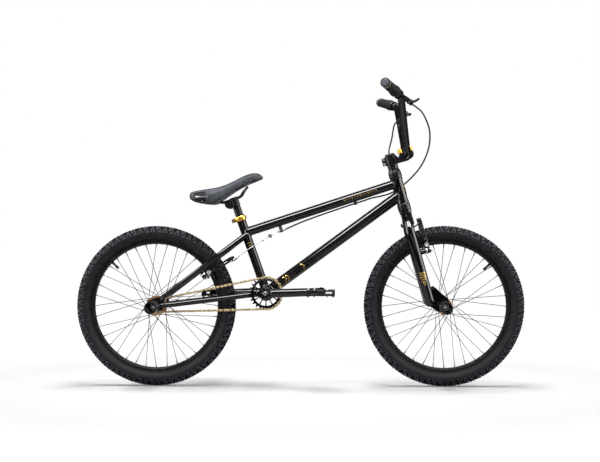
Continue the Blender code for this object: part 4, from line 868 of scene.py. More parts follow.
# ------------------------------------------------------------------ fork
def make_fork():
    bm = bmesh.new()
    add_turned(bm, HEAD_CENTRE, STEER_UP,
               [(-0.115, 0.012), (-0.113, 0.016), (-0.108, CROWN_RADIUS), (-0.077, CROWN_RADIUS),
                (-0.074, 0.0182), (-0.07, 0.0196), (-0.0662, 0.0198), (-0.0657, 0.0192),
                (-0.0657, STEERER_RADIUS), (0.112, STEERER_RADIUS)], 0, 64)
    for side in SIDES:
        corners = [steer(up, forward, side * y) for up, forward, y in LEG_CORNERS]
        path = rounded_path(corners, 0.07, 10)
        radii = [LEG_RADIUS] * len(path) + [LEG_RADIUS * 0.86, LEG_RADIUS * 0.45]
        tip = path[-1]
        path += [tip - STEER_UP * 0.006, tip - STEER_UP * 0.011]
        add_tube(bm, path, radii, 0, 48)
        add_dropout(bm, FRONT_PLATE, FRONT_DROPOUT, side)
        add_boss(bm, "front", side, -0.0343)
        leg_way = (corners[1] - corners[0]).normalized()
        loop = meeting_loop(corners[0], leg_way, LEG_RADIUS, HEAD_CENTRE, STEER_UP, CROWN_RADIUS)
        add_weld(bm, loop, 0.0018)
    add_rod(bm, steer(-0.108, -0.01), steer(-0.108, -0.0265), 0.0042, 1, 18)
    add_nut(bm, steer(-0.108, -0.0205), -STEER_FORWARD, 0.0055, 0.005, 1)
    make_piece("fork_body", bm, ["paint", "weld"], "steering", ["fork"])


MARK_BAR = 0.0042
MARK_PITCH = 0.0068
MARK_WIDTHS = (0.0105, 0.0095, 0.011, 0.008)
MARK_TIP = ((0.0275, -0.007), (0.045, -0.0006), (0.045, 0.0006), (0.0275, 0.007))


def make_fork_marks():
    """Four bars and a point, a plain stand-in for the print on each fork leg."""
    bm = bmesh.new()
    for side in SIDES:
        start = steer(-0.264, LEG_SETBACK, side * LEG_OFFSET)
        down = -STEER_UP
        facing = Y_AXIS * side
        for i, width in enumerate(MARK_WIDTHS):
            along = i * MARK_PITCH
            corners = [(along, -width), (along + MARK_BAR, -width), (along + MARK_BAR, width * 0.7),
                       (along, width)]
            add_patch(bm, corners, start, down, facing, LEG_RADIUS)
        add_patch(bm, list(MARK_TIP), start, down, facing, LEG_RADIUS)
    make_piece("fork_marks", bm, ["ink"], "steering", solid=False)


# ------------------------------------------------------------------ bar, stem and grips
BAR_LOWER_BEND = Vector((0.3389, 0.062, 0.7283))
BAR_UPPER_BEND = Vector((0.3145, 0.2, 0.901))
BAR_END = Vector((0.262, 0.355, 0.929))
BAR_WAY = (BAR_END - BAR_UPPER_BEND).normalized()
BAR_CLAMP = steer(0.1002, 0.0507)
GRIP_LENGTH = 0.13
CROSSBAR_RADIUS = 0.008
PLUG_DEPTH = 0.0063  # the tube's end lies this far inside the grip's


def on_bar(from_end, side):
    """A point on the straight grip part of the bar, measured in from its end."""
    return mirrored(BAR_END - from_end * BAR_WAY, side)


def make_handlebar():
    bm = bmesh.new()
    right_half = [on_bar(PLUG_DEPTH, RIGHT), mirrored(BAR_UPPER_BEND, RIGHT), mirrored(BAR_LOWER_BEND, RIGHT)]
    left_half = [BAR_LOWER_BEND, BAR_UPPER_BEND, on_bar(PLUG_DEPTH, LEFT)]
    path = rounded_path(right_half + [BAR_CLAMP] + left_half, 0.055, 12)
    add_tube(bm, path, BAR_RADIUS, 0, 36, bore=0.0085)
    left_end = BAR_LOWER_BEND.lerp(BAR_UPPER_BEND, 0.6)
    add_rod(bm, mirrored(left_end, RIGHT), left_end, CROSSBAR_RADIUS, 0, 32)
    upright = (BAR_UPPER_BEND - BAR_LOWER_BEND).normalized()
    for side in SIDES:
        loop = meeting_loop(mirrored(left_end, side), -Y_AXIS * side, CROSSBAR_RADIUS,
                            mirrored(left_end, side), mirrored(upright, side), BAR_RADIUS)
        add_weld(bm, loop, 0.0015)
    make_piece("bar_tube", bm, ["paint", "weld"], "steering", ["handlebar"])


def stem_place(forward, up, side):
    """The place of a point on the stem's side outline, for add_plate."""
    return steer(up, forward, side)


def make_stem():
    half = 0.025
    bm = bmesh.new()
    add_ring(bm, HEAD_CENTRE, STEER_UP,
             [(STEERER_RADIUS + 0.0002, 0.0864), (0.0184, 0.0864), (0.019, 0.0872), (0.019, 0.115),
              (0.018, 0.116), (STEERER_RADIUS + 0.0002, 0.116)], 0, 64)
    add_plate(bm, [(0.01, 0.0868), (0.052, 0.0866), (0.069, 0.0925), (0.0745, 0.0998), (0.027, 0.0998),
                   (0.018, 0.111), (0.01, 0.111)], stem_place, -half, half, 0.003, 0.0012)
    for side in SIDES:
        add_block(bm, steer(0.1012, -0.0215, side * 0.0052), (STEER_FORWARD, STEER_UP, Y_AXIS),
                  (0.0075, 0.0125, 0.004), 0, 0.003, 0.0008)
    for up in (0.0945, 0.108):
        add_bolt(bm, steer(up, -0.0235, -0.0088), -Y_AXIS, 0.004, 0.004, 1)
    make_piece("stem_body", bm, ["satin", "steel"], "steering", ["stem"])

    bm = bmesh.new()
    add_plate(bm, [(0.027, 0.1004), (0.0745, 0.1004), (0.0745, 0.1085), (0.069, 0.1155), (0.0325, 0.1155),
                   (0.027, 0.1085)], stem_place, -half, half, 0.003, 0.0012)
    for forward, height in ((0.034, 0.0125), (0.068, 0.01)):
        for side in SIDES:
            foot = steer(0.1148, forward, side * 0.0165)
            add_turned(bm, foot, STEER_UP, [(0, 0.0078), (0.0018, 0.0078), (0.0026, 0.0066)], 1, 28)
            add_bolt(bm, foot + STEER_UP * 0.002, STEER_UP, 0.0064, height, 1)
    make_piece("stem_cap", bm, ["satin", "gold"], "steering", ["stem_clamp"])


def make_grip(side):
    """Rubber grip with ribs and an inner swell, a pale ring, and a disc-shaped plug."""
    name = SIDE_NAMES[side]
    way = mirrored(BAR_WAY, side)
    bm = bmesh.new()
    profile = [(BAR_RADIUS + 0.0002, -GRIP_LENGTH), (BAR_RADIUS + 0.0002, -0.0064)]
    steps = 66
    for i in range(steps + 1):
        along = 0.0064 + (GRIP_LENGTH - 0.0064) * i / steps
        swell = exp(-((along - 0.102) / 0.016) ** 2)
        rib = 0.0005 * (1 if i % 2 else -1) if 0.018 < along < 0.088 else 0.0
        fade = 1 if along < 0.118 else (GRIP_LENGTH - along) / 0.012 * 0.5 + 0.5
        radius = 0.0138 + 0.0008 * sin(pi * along / GRIP_LENGTH) + 0.0035 * swell + rib
        profile.append((BAR_RADIUS + 0.0006 + (radius - BAR_RADIUS - 0.0006) * fade, -along))
    for face in add_ring(bm, mirrored(BAR_END, side), way, profile, 0, 48):
        along = (mirrored(BAR_END, side) - face.calc_center_median()).dot(way)
        if 0.0064 < along < 0.014:
            face.material_index = 1
    make_piece(f"{name}_grip_rubber", bm, ["grip", "beige"], "steering", [f"{name}_grip"],
               angle=50)
    bm = bmesh.new()
    add_turned(bm, mirrored(BAR_END, side), way,
               [(-0.02, 0.0072), (-0.0062, 0.0072), (-0.0062, 0.0146), (-0.005, 0.0149), (-0.0022, 0.0149),
                (-0.0012, 0.0144), (-0.0004, 0.0138), (-0.0004, 0.0124), (-0.001, 0.012)], 1, 48)
    add_turned(bm, mirrored(BAR_END, side), way,
               [(-0.002, 0.0121), (-0.001, 0.0119), (-0.0006, 0.0111), (-0.0004, 0.006),
                (-0.0004, 0.001)], 0, 48)
    make_piece(f"{name}_bar_plug", bm, ["plug", "grip"], "steering", [f"{name}_bar_end"])


# ------------------------------------------------------------------ levers
LEVER_PIVOT = joint_point("left_lever_pull")
LEVER_TIP = Vector((0.365, 0.305, 0.884))
LEVER_CLAMP_FROM_END = 0.138


def lever_directions(side):
    blade = (mirrored(LEVER_TIP, side) - mirrored(LEVER_PIVOT, side)).normalized()
    towards_grip = on_bar(0.05, side) - mirrored(LEVER_TIP, side)
    pull = (towards_grip - towards_grip.dot(blade) * blade).normalized()
    return blade, pull, blade.cross(pull)


def lever_barrel(side):
    """Start and direction of the cable barrel on the perch."""
    clamp_centre = on_bar(LEVER_CLAMP_FROM_END, side)
    way = (mirrored(LEVER_PIVOT, side) - clamp_centre).normalized()
    return clamp_centre + way * 0.03, (way * 0.55 - Y_AXIS * side * 0.84).normalized()


def make_perch(side):
    """The lever's clamp round the bar, with two lugs at the pivot and the cable barrel."""
    name = SIDE_NAMES[side]
    _, _, axis = lever_directions(side)
    pivot = mirrored(LEVER_PIVOT, side)
    clamp_centre = on_bar(LEVER_CLAMP_FROM_END, side)
    way = (pivot - clamp_centre).normalized()
    across = axis.cross(way).normalized()
    flat_way = across.cross(axis)
    reach = (pivot - clamp_centre).length
    bm = bmesh.new()
    add_ring(bm, clamp_centre, mirrored(BAR_WAY, side),
             [(BAR_RADIUS + 0.0002, -0.005), (0.0149, -0.005), (0.0156, -0.0042), (0.0156, 0.0042),
              (0.0149, 0.005), (BAR_RADIUS + 0.0002, 0.005)], 0, 48)
    add_block(bm, clamp_centre + way * (0.012 + reach - 0.01) / 2, (way, way.cross(across), across),
              ((reach - 0.008 - 0.014) / 2, 0.0072, 0.0048), 0, 0.0025, 0.0012)
    for sign in (-1, 1):
        add_block(bm, pivot - flat_way * 0.003 + axis * sign * 0.0064, (flat_way, across, axis),
                  (0.009, 0.005, 0.0011), 0, 0.003, 0.0003)
    add_bolt(bm, pivot + axis * 0.0074, axis, 0.0034, 0.0022, 1)
    add_nut(bm, pivot - axis * 0.0074, -axis, 0.003, 0.0022, 1)
    start, barrel_way = lever_barrel(side)
    add_turned(bm, start, barrel_way,
               [(0, 0.0042), (0.01, 0.0042), (0.0105, 0.005), (0.0165, 0.005), (0.017, 0.004),
                (0.0235, 0.004), (0.026, 0.0032)], 1, 24)
    add_bolt(bm, clamp_centre - across * 0.015, -across, 0.0032, 0.003, 1)
    make_piece(f"{name}_perch_body", bm, ["satin", "dark_steel"], "steering", [f"{name}_lever_perch"])


def make_lever(side):
    """A flat blade that swells towards its tip, on a round eye."""
    name = SIDE_NAMES[side]
    blade, pull, axis = lever_directions(side)
    pivot = mirrored(LEVER_PIVOT, side)
    bm = bmesh.new()
    length = (LEVER_TIP - LEVER_PIVOT).length
    stations = ((0.001, 0.0, 0.0042, 0.0042), (0.01, 0.0, 0.0044, 0.0034), (0.02, -0.0004, 0.0046, 0.0026),
                (0.032, -0.0008, 0.005, 0.0021), (0.05, -0.0008, 0.0054, 0.0018),
                (0.066, -0.0004, 0.0054, 0.0018), (length - 0.005, 0.0, 0.005, 0.0017),
                (length - 0.001, 0.0, 0.0036, 0.0013))
    loops = []
    for along, back, half_height, half_thickness in stations:
        middle = pivot + blade * along + pull * back
        loops.append(circle(middle, axis * half_height, pull * half_thickness, 1, 20))
    add_loft(bm, loops)
    add_rod(bm, pivot - axis * 0.005, pivot + axis * 0.005, 0.006, 0, 28)
    make_piece(f"{name}_lever_blade", bm, ["satin"], f"{name}_lever", [f"{name}_brake_lever"],
               angle=50)


# ------------------------------------------------------------------ cables
HOUSING_LOOP = ((0.376, -0.178, 0.858), (0.392, -0.153, 0.835), (0.404, -0.12, 0.808),
                (0.408, -0.088, 0.782), (0.406, -0.055, 0.753), (0.397, -0.024, 0.723),
                (0.382, 0.002, 0.694), (0.362, 0.02, 0.669), (0.335, 0.029, 0.643),
                (0.31, 0.0285, 0.624), (0.286, 0.022, 0.611), (0.26, 0.011, 0.603))
CABLE_RADIUS = 0.0025
WIRE_RADIUS = 0.0009
ROUTE_STEP = 0.006
# (x, drop below the top tube's axis)
TOP_TUBE_HOUSING = ((0.2, HOUSING_DROP), (GUIDE_X, HOUSING_DROP), (0.14, HOUSING_DROP),
                    (0.05, 0.0215), (0.0, 0.024), (STOP_X, STOP_DROP))
FRONT_CABLE_REACH = ((0.351, 0.176, 0.874), (0.344, 0.154, 0.867), (0.33, 0.135, 0.86),
                     (0.315, 0.118, 0.85), (0.303, 0.095, 0.835), (0.298, 0.068, 0.815),
                     (0.294, 0.041, 0.792), (0.2885, 0.018, 0.77), (0.2835, 0.004, 0.75))
FRONT_CABLE_LOOP = ((-0.108, 0.0005, 0.001), (-0.117, 0.004, 0.005), (-0.1205, 0.012, 0.012),
                    (-0.1195, 0.022, 0.019), (-0.113, 0.031, 0.0245), (-0.106, 0.0345, 0.028))


def cable_start(side):
    start, way = lever_barrel(side)
    return [start + way * (0.0275 + along) for along in (0, 0.008)]


def add_cable(bm, points):
    """Outer casing with a metal ferrule on each end."""
    route = smooth_route(points, ROUTE_STEP)
    add_tube(bm, route, CABLE_RADIUS, 0, 20)
    ferrule = [(0, CABLE_RADIUS), (0.0004, CABLE_RADIUS + 0.0006), (0.009, CABLE_RADIUS + 0.0006),
               (0.0096, CABLE_RADIUS)]
    for end, inner in ((route[0], route[1]), (route[-1], route[-2])):
        add_turned(bm, end, inner - end, ferrule, 1, 20)


def make_rear_cable():
    """The rear brake's housing, which loops ahead of the head tube and runs under the top tube to the stop.
    """
    bm = bmesh.new()
    points = cable_start(RIGHT) + [Vector(point) for point in HOUSING_LOOP]
    points.append(below_top_tube(0.23, HOUSING_DROP, 0.003))
    points += [below_top_tube(x, drop) for x, drop in TOP_TUBE_HOUSING]
    add_cable(bm, points)
    rear = make_piece("rear_cable", bm, ["cable", "dark_steel"], None, ["rear_brake_housing"])
    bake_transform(rear)


def make_front_cable():
    """The front brake's housing, which goes down inside the steerer and comes out under the crown."""
    bm = bmesh.new()
    points = cable_start(LEFT) + [Vector(point) for point in FRONT_CABLE_REACH]
    points += [steer(up) for up in (0.126, 0.118, 0.1, 0.05, 0.0, -0.05, -0.09)]
    points += [steer(*place) for place in FRONT_CABLE_LOOP]
    add_cable(bm, points)
    make_piece("front_cable", bm, ["cable", "dark_steel"], "steering", ["front_brake_cable"])


def make_rear_wire():
    """Bare wire from the stop, its yoke, and two straddle wires that run to the brake arms."""
    bm = bmesh.new()
    yoke = Vector((-0.094, 0, 0.476))
    start = below_top_tube(STOP_X - 0.0004, STOP_DROP)
    path = smooth_route([start, below_top_tube(STOP_X - 0.012, STOP_DROP), yoke], ROUTE_STEP)
    add_tube(bm, path, WIRE_RADIUS, 0, 10)
    add_turned(bm, start, -TOP_TUBE_WAY,
               [(0.0105, 0.003), (0.011, 0.0034), (0.015, 0.0034), (0.0155, 0.0024), (0.019, 0.002)], 1, 24)
    add_block(bm, yoke, (X_AXIS, Z_AXIS, Y_AXIS), (0.006, 0.0055, 0.005), 1, 0.0022, 0.0008)
    add_bolt(bm, yoke - Y_AXIS * 0.0048, -Y_AXIS, 0.0042, 0.004, 1)
    make_piece("rear_wire", bm, ["wire", "dark_steel"], "frame", ["rear_brake_wire"])
    for side in SIDES:
        bm = bmesh.new()
        end = brake_point("rear", 0.099, 0.007, side * 0.04)
        past_tube = Vector((-0.156, side * 0.02, 0.4385))
        path = smooth_route([yoke + Y_AXIS * side * 0.004, past_tube, end], ROUTE_STEP)
        add_tube(bm, path, WIRE_RADIUS, 0, 10)
        along = (path[-2] - path[-1]).normalized()
        add_turned(bm, path[-1], along,
                   [(0, 0.0016), (0.0005, 0.003), (0.012, 0.003), (0.014, 0.0016)], 1, 20)
        add_turned(bm, path[4], (path[5] - path[4]).normalized(),
                   [(0, 0.0012), (0.0005, 0.0022), (0.005, 0.0022), (0.0055, 0.0012)], 1, 16)
        wire = make_piece(f"{SIDE_NAMES[side]}_straddle_wire", bm, ["wire", "dark_steel"], None)
        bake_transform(wire)


# ------------------------------------------------------------------ brakes
ARM_LENGTH = 0.1
PAD_HEIGHT = 0.0187
# outlines of one arm: (along from its pivot, out from the bike's middle)
ARM_FOOT = ((-0.006, 0.037), (0.01, 0.0345), (0.03, 0.0368), (0.04, 0.0374), (0.04, 0.0478), (0.03, 0.0488),
            (0.01, 0.0495), (-0.006, 0.047))
ARM_HEAD = ((0.086, 0.0392), (ARM_LENGTH, 0.04), (ARM_LENGTH + 0.0055, 0.042), (ARM_LENGTH + 0.0055, 0.046),
            (ARM_LENGTH, 0.0482), (0.086, 0.048))
ARM_CHEEK = ((0.036, 0.0374), (0.06, 0.0385), (0.09, 0.0394), (0.09, 0.0479), (0.06, 0.0475), (0.036, 0.048))
COIL_TURNS = 4
COIL_STEPS = 14
COIL_RADIUS = 0.00966


def make_caliper(end, side):
    """One brake arm with its return spring and bolts."""
    name = f"{end}_{SIDE_NAMES[side]}"
    pin_way = BRAKES[end][2]

    def place(along, y, out):
        return brake_point(end, along, out, side * y)

    bm = bmesh.new()
    add_plate(bm, ARM_FOOT, place, -0.006, 0.006, 0.004, 0.0012)
    add_plate(bm, ARM_HEAD, place, -0.006, 0.006, 0.003, 0.0012)
    for low, high in ((-0.006, -0.0022), (0.0022, 0.006)):
        add_plate(bm, ARM_CHEEK, place, low, high, 0.002, 0.0008)
    add_rod(bm, place(0, PIVOT_TO_SIDE, -0.007), place(0, PIVOT_TO_SIDE, 0.0072), 0.0088, 0, 32)
    add_turned(bm, place(0, PIVOT_TO_SIDE, 0.0072), pin_way,
               [(0, 0.0078), (0.0014, 0.0078), (0.0022, 0.0066)], 1, 32)
    add_bolt(bm, place(0, PIVOT_TO_SIDE, 0.009), pin_way, 0.005, 0.005, 1)
    add_turned(bm, place(PAD_HEIGHT, 0.048, 0), Y_AXIS * side,
               [(0, 0.0072), (0.0016, 0.0072), (0.0016, 0.006), (0.004, 0.0058), (0.004, 0.005)], 1, 28)
    add_bolt(bm, place(PAD_HEIGHT, 0.0515, 0), Y_AXIS * side, 0.0048, 0.0048, 1)
    add_bolt(bm, place(ARM_LENGTH - 0.004, 0.044, 0.0046), pin_way, 0.0042, 0.0042, 1)
    coil = []
    for i in range(COIL_TURNS * COIL_STEPS + 1):
        turn = 2 * pi * i / COIL_STEPS
        coil.append(place(COIL_RADIUS * cos(turn), PIVOT_TO_SIDE + COIL_RADIUS * sin(turn),
                          -0.0068 + 0.0012 * i / COIL_STEPS))
    coil.append(place(0.03, 0.0392, -0.0052))
    coil.append(place(0.055, 0.042, -0.0056))
    add_tube(bm, coil, 0.0007, 1, 8)
    for along in (0.046, 0.052, 0.058):
        add_rod(bm, place(along, 0.043, 0.0044), place(along, 0.043, 0.0054), 0.0014, 1, 16, 0.0002)
    make_piece(f"{name}_brake_caliper", bm, ["satin", "steel"], f"{name}_arm",
               [f"{end}_brake_{SIDE_NAMES[side]}_arm"])


def make_shoe(end, side):
    """The rubber block, its holder and the stud through the arm."""
    name = f"{end}_{SIDE_NAMES[side]}"
    _, arm_way, pin_way = BRAKES[end]
    bm = bmesh.new()
    centre = brake_point(end, PAD_HEIGHT, 0, side * 0.0207)
    lower = [(-0.025, -0.004), (-0.018, -0.0047), (0.018, -0.0047), (0.025, -0.004)]
    corners = lower + [(a, -b) for a, b in lower[::-1]]

    def on_pad(out, along, y):
        return centre + out * pin_way + along * arm_way + side * y * Y_AXIS

    add_plate(bm, corners, on_pad, -0.0048, 0.0028, 0.002, 0.0008, 0)
    add_plate(bm, [(a * 0.98, b * 1.1) for a, b in corners], on_pad, 0.0026, 0.0052, 0.002, 0.0006, 1)
    for out in (-0.015, -0.0075, 0.0, 0.0075, 0.015):
        add_block(bm, on_pad(out, 0, -0.001), (pin_way, arm_way, Y_AXIS), (0.0004, 0.005, 0.0036), 1,
                  0.0001, 0.0001)
    add_rod(bm, on_pad(0, 0, 0.005), brake_point(end, PAD_HEIGHT, 0, side * 0.0362), 0.0034, 2, 20)
    add_turned(bm, brake_point(end, PAD_HEIGHT, 0, side * 0.03), Y_AXIS * side,
               [(0, 0.006), (0.0055, 0.0066), (0.0064, 0.0066)], 2, 28)
    make_piece(f"{name}_brake_shoe", bm, ["pad", "satin", "steel"], f"{name}_arm",
               [f"{end}_brake_{SIDE_NAMES[side]}_pad"])


# ------------------------------------------------------------------ wheels
CASING_CENTRE = 0.229
CASING_HALF_WIDTH = 0.0234
CASING_RISE = 0.0224
TREAD_HEIGHT = 0.0026
TREAD_REPEATS = 38
TREAD_EDGE = 0.2322


def tyre_point(centre, turn, across, rise):
    """A point on the casing: across is degrees from the crown, and rise is height above it."""
    lean = radians(across)
    radius = CASING_CENTRE + (CASING_RISE + rise) * cos(lean)
    out = outward(turn)
    return centre + radius * out + (CASING_HALF_WIDTH + rise * 0.6) * sin(lean) * Y_AXIS


def add_tread_block(bm, centre, repeat, shape, flip):
    """One knob: shape is an outline of (share of the repeat, degrees across)."""
    step = 2 * pi / TREAD_REPEATS
    mid_share = sum(share for share, _ in shape) / len(shape)
    mid_across = sum(across for _, across in shape) / len(shape)
    shift = 0.0 if flip > 0 else 0.5
    loops = []
    for rise, shrink in ((-0.0006, 1.04), (TREAD_HEIGHT * 0.75, 1.0), (TREAD_HEIGHT, 0.93)):
        loop = []
        for share, across in shape:
            turn = (repeat + shift + mid_share + (share - mid_share) * shrink) * step
            lean = mid_across + (across - mid_across) * shrink
            loop.append(tyre_point(centre, turn, flip * lean, rise))
        loops.append(loop)
    # the knobs' lower sides take the darker groove colour, painted shade down between the knobs; the rest
    # takes the tread colour
    faces = add_loft(bm, loops, 2)
    for face in faces[len(shape):]:
        face.material_index = 1


# outlines of the knobs on one side of the tyre: a chevron with a stud in it, wedges and crown blocks
TREAD_SHAPES = (
    [(0.0, 80), (0.1, 52), (0.2, 24), (0.3, 24), (0.4, 52), (0.49, 80), (0.37, 80), (0.25, 48), (0.12, 80)],
    [(0.19, 80), (0.25, 62), (0.31, 80)],
    [(0.53, 80), (0.6, 42), (0.7, 60), (0.93, 80)],
    [(0.6, 30), (0.66, 20), (0.92, 20), (0.97, 34), (0.94, 66), (0.8, 60), (0.68, 44)],
    [(0.02, 3), (0.2, 3), (0.17, 16), (0.0, 17)],
    [(0.26, 3), (0.46, 3), (0.48, 16), (0.31, 16)],
    [(0.52, 3), (0.72, 3), (0.7, 14), (0.52, 16)],
    [(0.78, 3), (0.96, 3), (0.95, 14), (0.76, 14)],
)


WALL_RIBS = ((0.212, 0.017), (0.216, 0.0192), (0.2275, 0.0236), (0.2318, 0.0233))
TYRE_WALL = ((0.2235, 0.0226), (0.218, 0.0205), (0.213, 0.0172), (0.212, 0.0166), (0.211, 0.0157),
             (0.2094, 0.013), (0.204, 0.01), (0.204, 0.007))
RIB_SECTION = ((-0.0006, -0.0002), (0, 0.0006), (0.0006, -0.0002), (0, -0.0012))


def make_tyre(end, centre):
    bm = bmesh.new()
    section = []
    for across in range(-96, 97, 8):
        lean = radians(across)
        section.append((CASING_CENTRE + CASING_RISE * cos(lean), CASING_HALF_WIDTH * sin(lean)))
    section += [*TYRE_WALL] + [(radius, -side) for radius, side in TYRE_WALL[::-1]]
    for face in add_ring(bm, centre, Y_AXIS, section, 0, 160):
        middle = face.calc_center_median() - centre
        # the casing across the tread band takes the darker groove colour, painted shade between the knobs
        if hypot(middle.x, middle.z) > TREAD_EDGE:
            face.material_index = 2
    for radius, side in WALL_RIBS:
        for sign in SIDES:
            rib = [(radius + up, sign * (side + out)) for up, out in RIB_SECTION]
            add_ring(bm, centre, Y_AXIS, rib, 0, 128)
    for repeat in range(TREAD_REPEATS):
        for shape in TREAD_SHAPES:
            for flip in (1, -1):
                add_tread_block(bm, centre, repeat, shape, flip)
    make_piece(f"{end}_tyre_casing", bm, ["tyre", "tread", "groove"], f"{end}_wheel", [f"{end}_tyre"],
               angle=40)


SPOKES = 36
SPOKE_RADIUS = 0.00095
SPOKE_END = 0.1962
RIM_WELL = 0.1966
# (left flange, right flange, flange radius)
FLANGES = {"front": (0.0345, -0.0345, 0.026), "rear": (0.0369, -0.0281, 0.0305)}
VALVE_TURN = {"front": radians(42.6), "rear": radians(135.7)}


def make_rim(end, centre):
    bm = bmesh.new()
    half = [(0.1962, 0.007), (0.1968, 0.0105), (0.1985, 0.0132), (0.1998, 0.0141), (0.208, 0.0142),
            (0.2091, 0.0136), (0.209, 0.0124), (0.201, 0.0112)]
    section = half + [(radius, -side) for radius, side in half[::-1]]
    add_ring(bm, centre, Y_AXIS, section, 0, 160)
    for index in range(SPOKES):
        turn = 2 * pi * (index + 0.5) / SPOKES
        out = outward(turn)
        add_turned(bm, centre + out * RIM_WELL, -out, [(0, 0.0042), (0.0007, 0.004), (0.001, 0.003)], 0, 16)
    inward = -outward(VALVE_TURN[end])
    base = centre - inward * RIM_WELL
    add_turned(bm, base, inward,
               [(0, 0.0046), (0.003, 0.0042), (0.01, 0.0036), (0.013, 0.003), (0.0135, 0.004),
                (0.015, 0.0044), (0.025, 0.0044), (0.0268, 0.0036), (0.0272, 0.001)], 1, 24)
    make_piece(f"{end}_rim_hoop", bm, ["rim", "matt"], f"{end}_wheel", [f"{end}_rim"])


def spoke_line(end, index):
    """A spoke from its flange hole to the rim, around the axle."""
    left_flange, right_flange, flange_radius = FLANGES[end]
    on_left = index % 2 == 0
    leading = 1 if index % 4 < 2 else -1
    rim_turn = 2 * pi * index / SPOKES
    hub_turn = rim_turn + leading * 12 * pi / SPOKES
    flange = left_flange if on_left else right_flange
    start = (flange_radius - 0.0032) * outward(hub_turn) + (flange + leading * 0.0026) * Y_AXIS
    finish = SPOKE_END * outward(rim_turn) + (0.0025 if on_left else -0.0025) * Y_AXIS
    return start, finish, leading


def make_spokes(end, centre):
    bm = bmesh.new()
    for index in range(SPOKES):
        start, finish, leading = spoke_line(end, index)
        start += centre
        finish += centre
        way = (finish - start).normalized()
        head = start - Y_AXIS * leading * 0.006
        add_tube(bm, [head, start - Y_AXIS * leading * 0.0012, start + way * 0.0016, start + way * 0.03,
                      finish - way * 0.004], SPOKE_RADIUS, 0, 8)
        add_turned(bm, head, -Y_AXIS * leading, [(0, 0.0018), (0.0008, 0.0015), (0.001, 0.0006)], 0, 12)
        add_turned(bm, finish, -way,
                   [(0, 0.0026), (0.0015, 0.0026), (0.002, 0.0019), (0.011, 0.0017),
                    (0.0125, 0.0011)], 1, 12)
    make_piece(f"{end}_spokes", bm, ["spoke", "dark_steel"], f"{end}_wheel")


FRONT_HUB_HALF = ((0.0495, 0.01), (0.048, 0.0112), (0.042, 0.0115), (0.04, 0.014), (0.0372, 0.015),
                  (0.0364, 0.025), (0.0358, 0.026), (0.0332, 0.026), (0.0326, 0.025), (0.0322, 0.0175),
                  (0.026, 0.0155), (0.01, 0.014))
# (distance to the left of the bike's middle, radius)
HUB_STATIONS = {
    "front": [(-y, r) for y, r in FRONT_HUB_HALF] + [(0, 0.0136), *FRONT_HUB_HALF[::-1]],
    "rear": [(-0.0304, 0.017), (-0.03, 0.0292), (-0.0296, 0.0305), (-0.0266, 0.0305), (-0.026, 0.0295),
             (-0.0254, 0.0205), (-0.02, 0.0185), (0.0, 0.017), (0.028, 0.0182), (0.0335, 0.02),
             (0.0346, 0.0295), (0.0352, 0.0305), (0.0384, 0.0305), (0.039, 0.0295), (0.0396, 0.0175),
             (0.043, 0.015), (0.044, 0.0122), (0.054, 0.012), (0.0544, 0.0105)],
}


def make_hub(end, centre):
    bm = bmesh.new()
    add_turned(bm, centre, Y_AXIS, HUB_STATIONS[end], 0, 64)
    make_piece(f"{end}_hub_shell", bm, ["copper"], f"{end}_wheel", [f"{end}_hub"])


def make_axle(end, centre, outer, body):
    bm = bmesh.new()
    half = Y_AXIS * (outer + 0.022)
    add_rod(bm, centre - half, centre + half, 0.0069, 0, 32, 0.0012)
    for side in SIDES:
        way = Y_AXIS * side
        add_nut(bm, centre + way * (outer + 0.006), way, 0.0096, 0.0098)
        for i in range(8):
            at = centre + way * (outer + 0.0165 + i * 0.0006)
            add_turned(bm, at, way, [(0, 0.0069), (0.0002, 0.0072), (0.0004, 0.0069)], 0, 24)
    if end == "rear":
        add_turned(bm, centre, -Y_AXIS,
                   [(0.0505, 0.011), (0.0509, 0.0114), (0.0544, 0.0114), (0.0548, 0.011)], 0, 36)
    make_piece(f"{end}_axle_nuts", bm, ["steel"], body, [f"{end}_axle"])


PEG_RADIUS = 0.019
PEG_END = 0.16
PEG_GROOVES = 9


def make_peg(end, centre, face, side, body):
    """A thick tube with turned grooves, whose closed inner end is held by the axle nut."""
    bm = bmesh.new()
    start = face + 0.0003
    profile = [(0.0078, start), (0.0176, start), (PEG_RADIUS, start + 0.0014)]
    for i in range(PEG_GROOVES):
        at = start + 0.014 + (PEG_END - start - 0.028) * i / (PEG_GROOVES - 1)
        profile += [(PEG_RADIUS, at - 0.0012), (0.0184, at - 0.0006), (0.0184, at + 0.0006),
                    (PEG_RADIUS, at + 0.0012)]
    profile += [(PEG_RADIUS, 0.1586), (0.018, PEG_END), (0.0158, PEG_END), (0.015, 0.159),
                (0.015, start + 0.0062), (0.0078, start + 0.0055)]
    add_ring(bm, centre, Y_AXIS * side, profile, 0, 56)
    make_piece(f"{end}_{SIDE_NAMES[side]}_peg_tube", bm, ["satin"], body, [f"{end}_{SIDE_NAMES[side]}_peg"])


# ------------------------------------------------------------------ drive train
CHAIN_PITCH = 0.0127
CHAINRING_TEETH = 25
CHAINRING_ARMS = 12
DRIVER_TEETH = 9
CHAIN_LINKS = 73
TOOTH_HALF_THICKNESS = 0.0014


def pitch_radius(teeth):
    return CHAIN_PITCH / (2 * sin(pi / teeth))


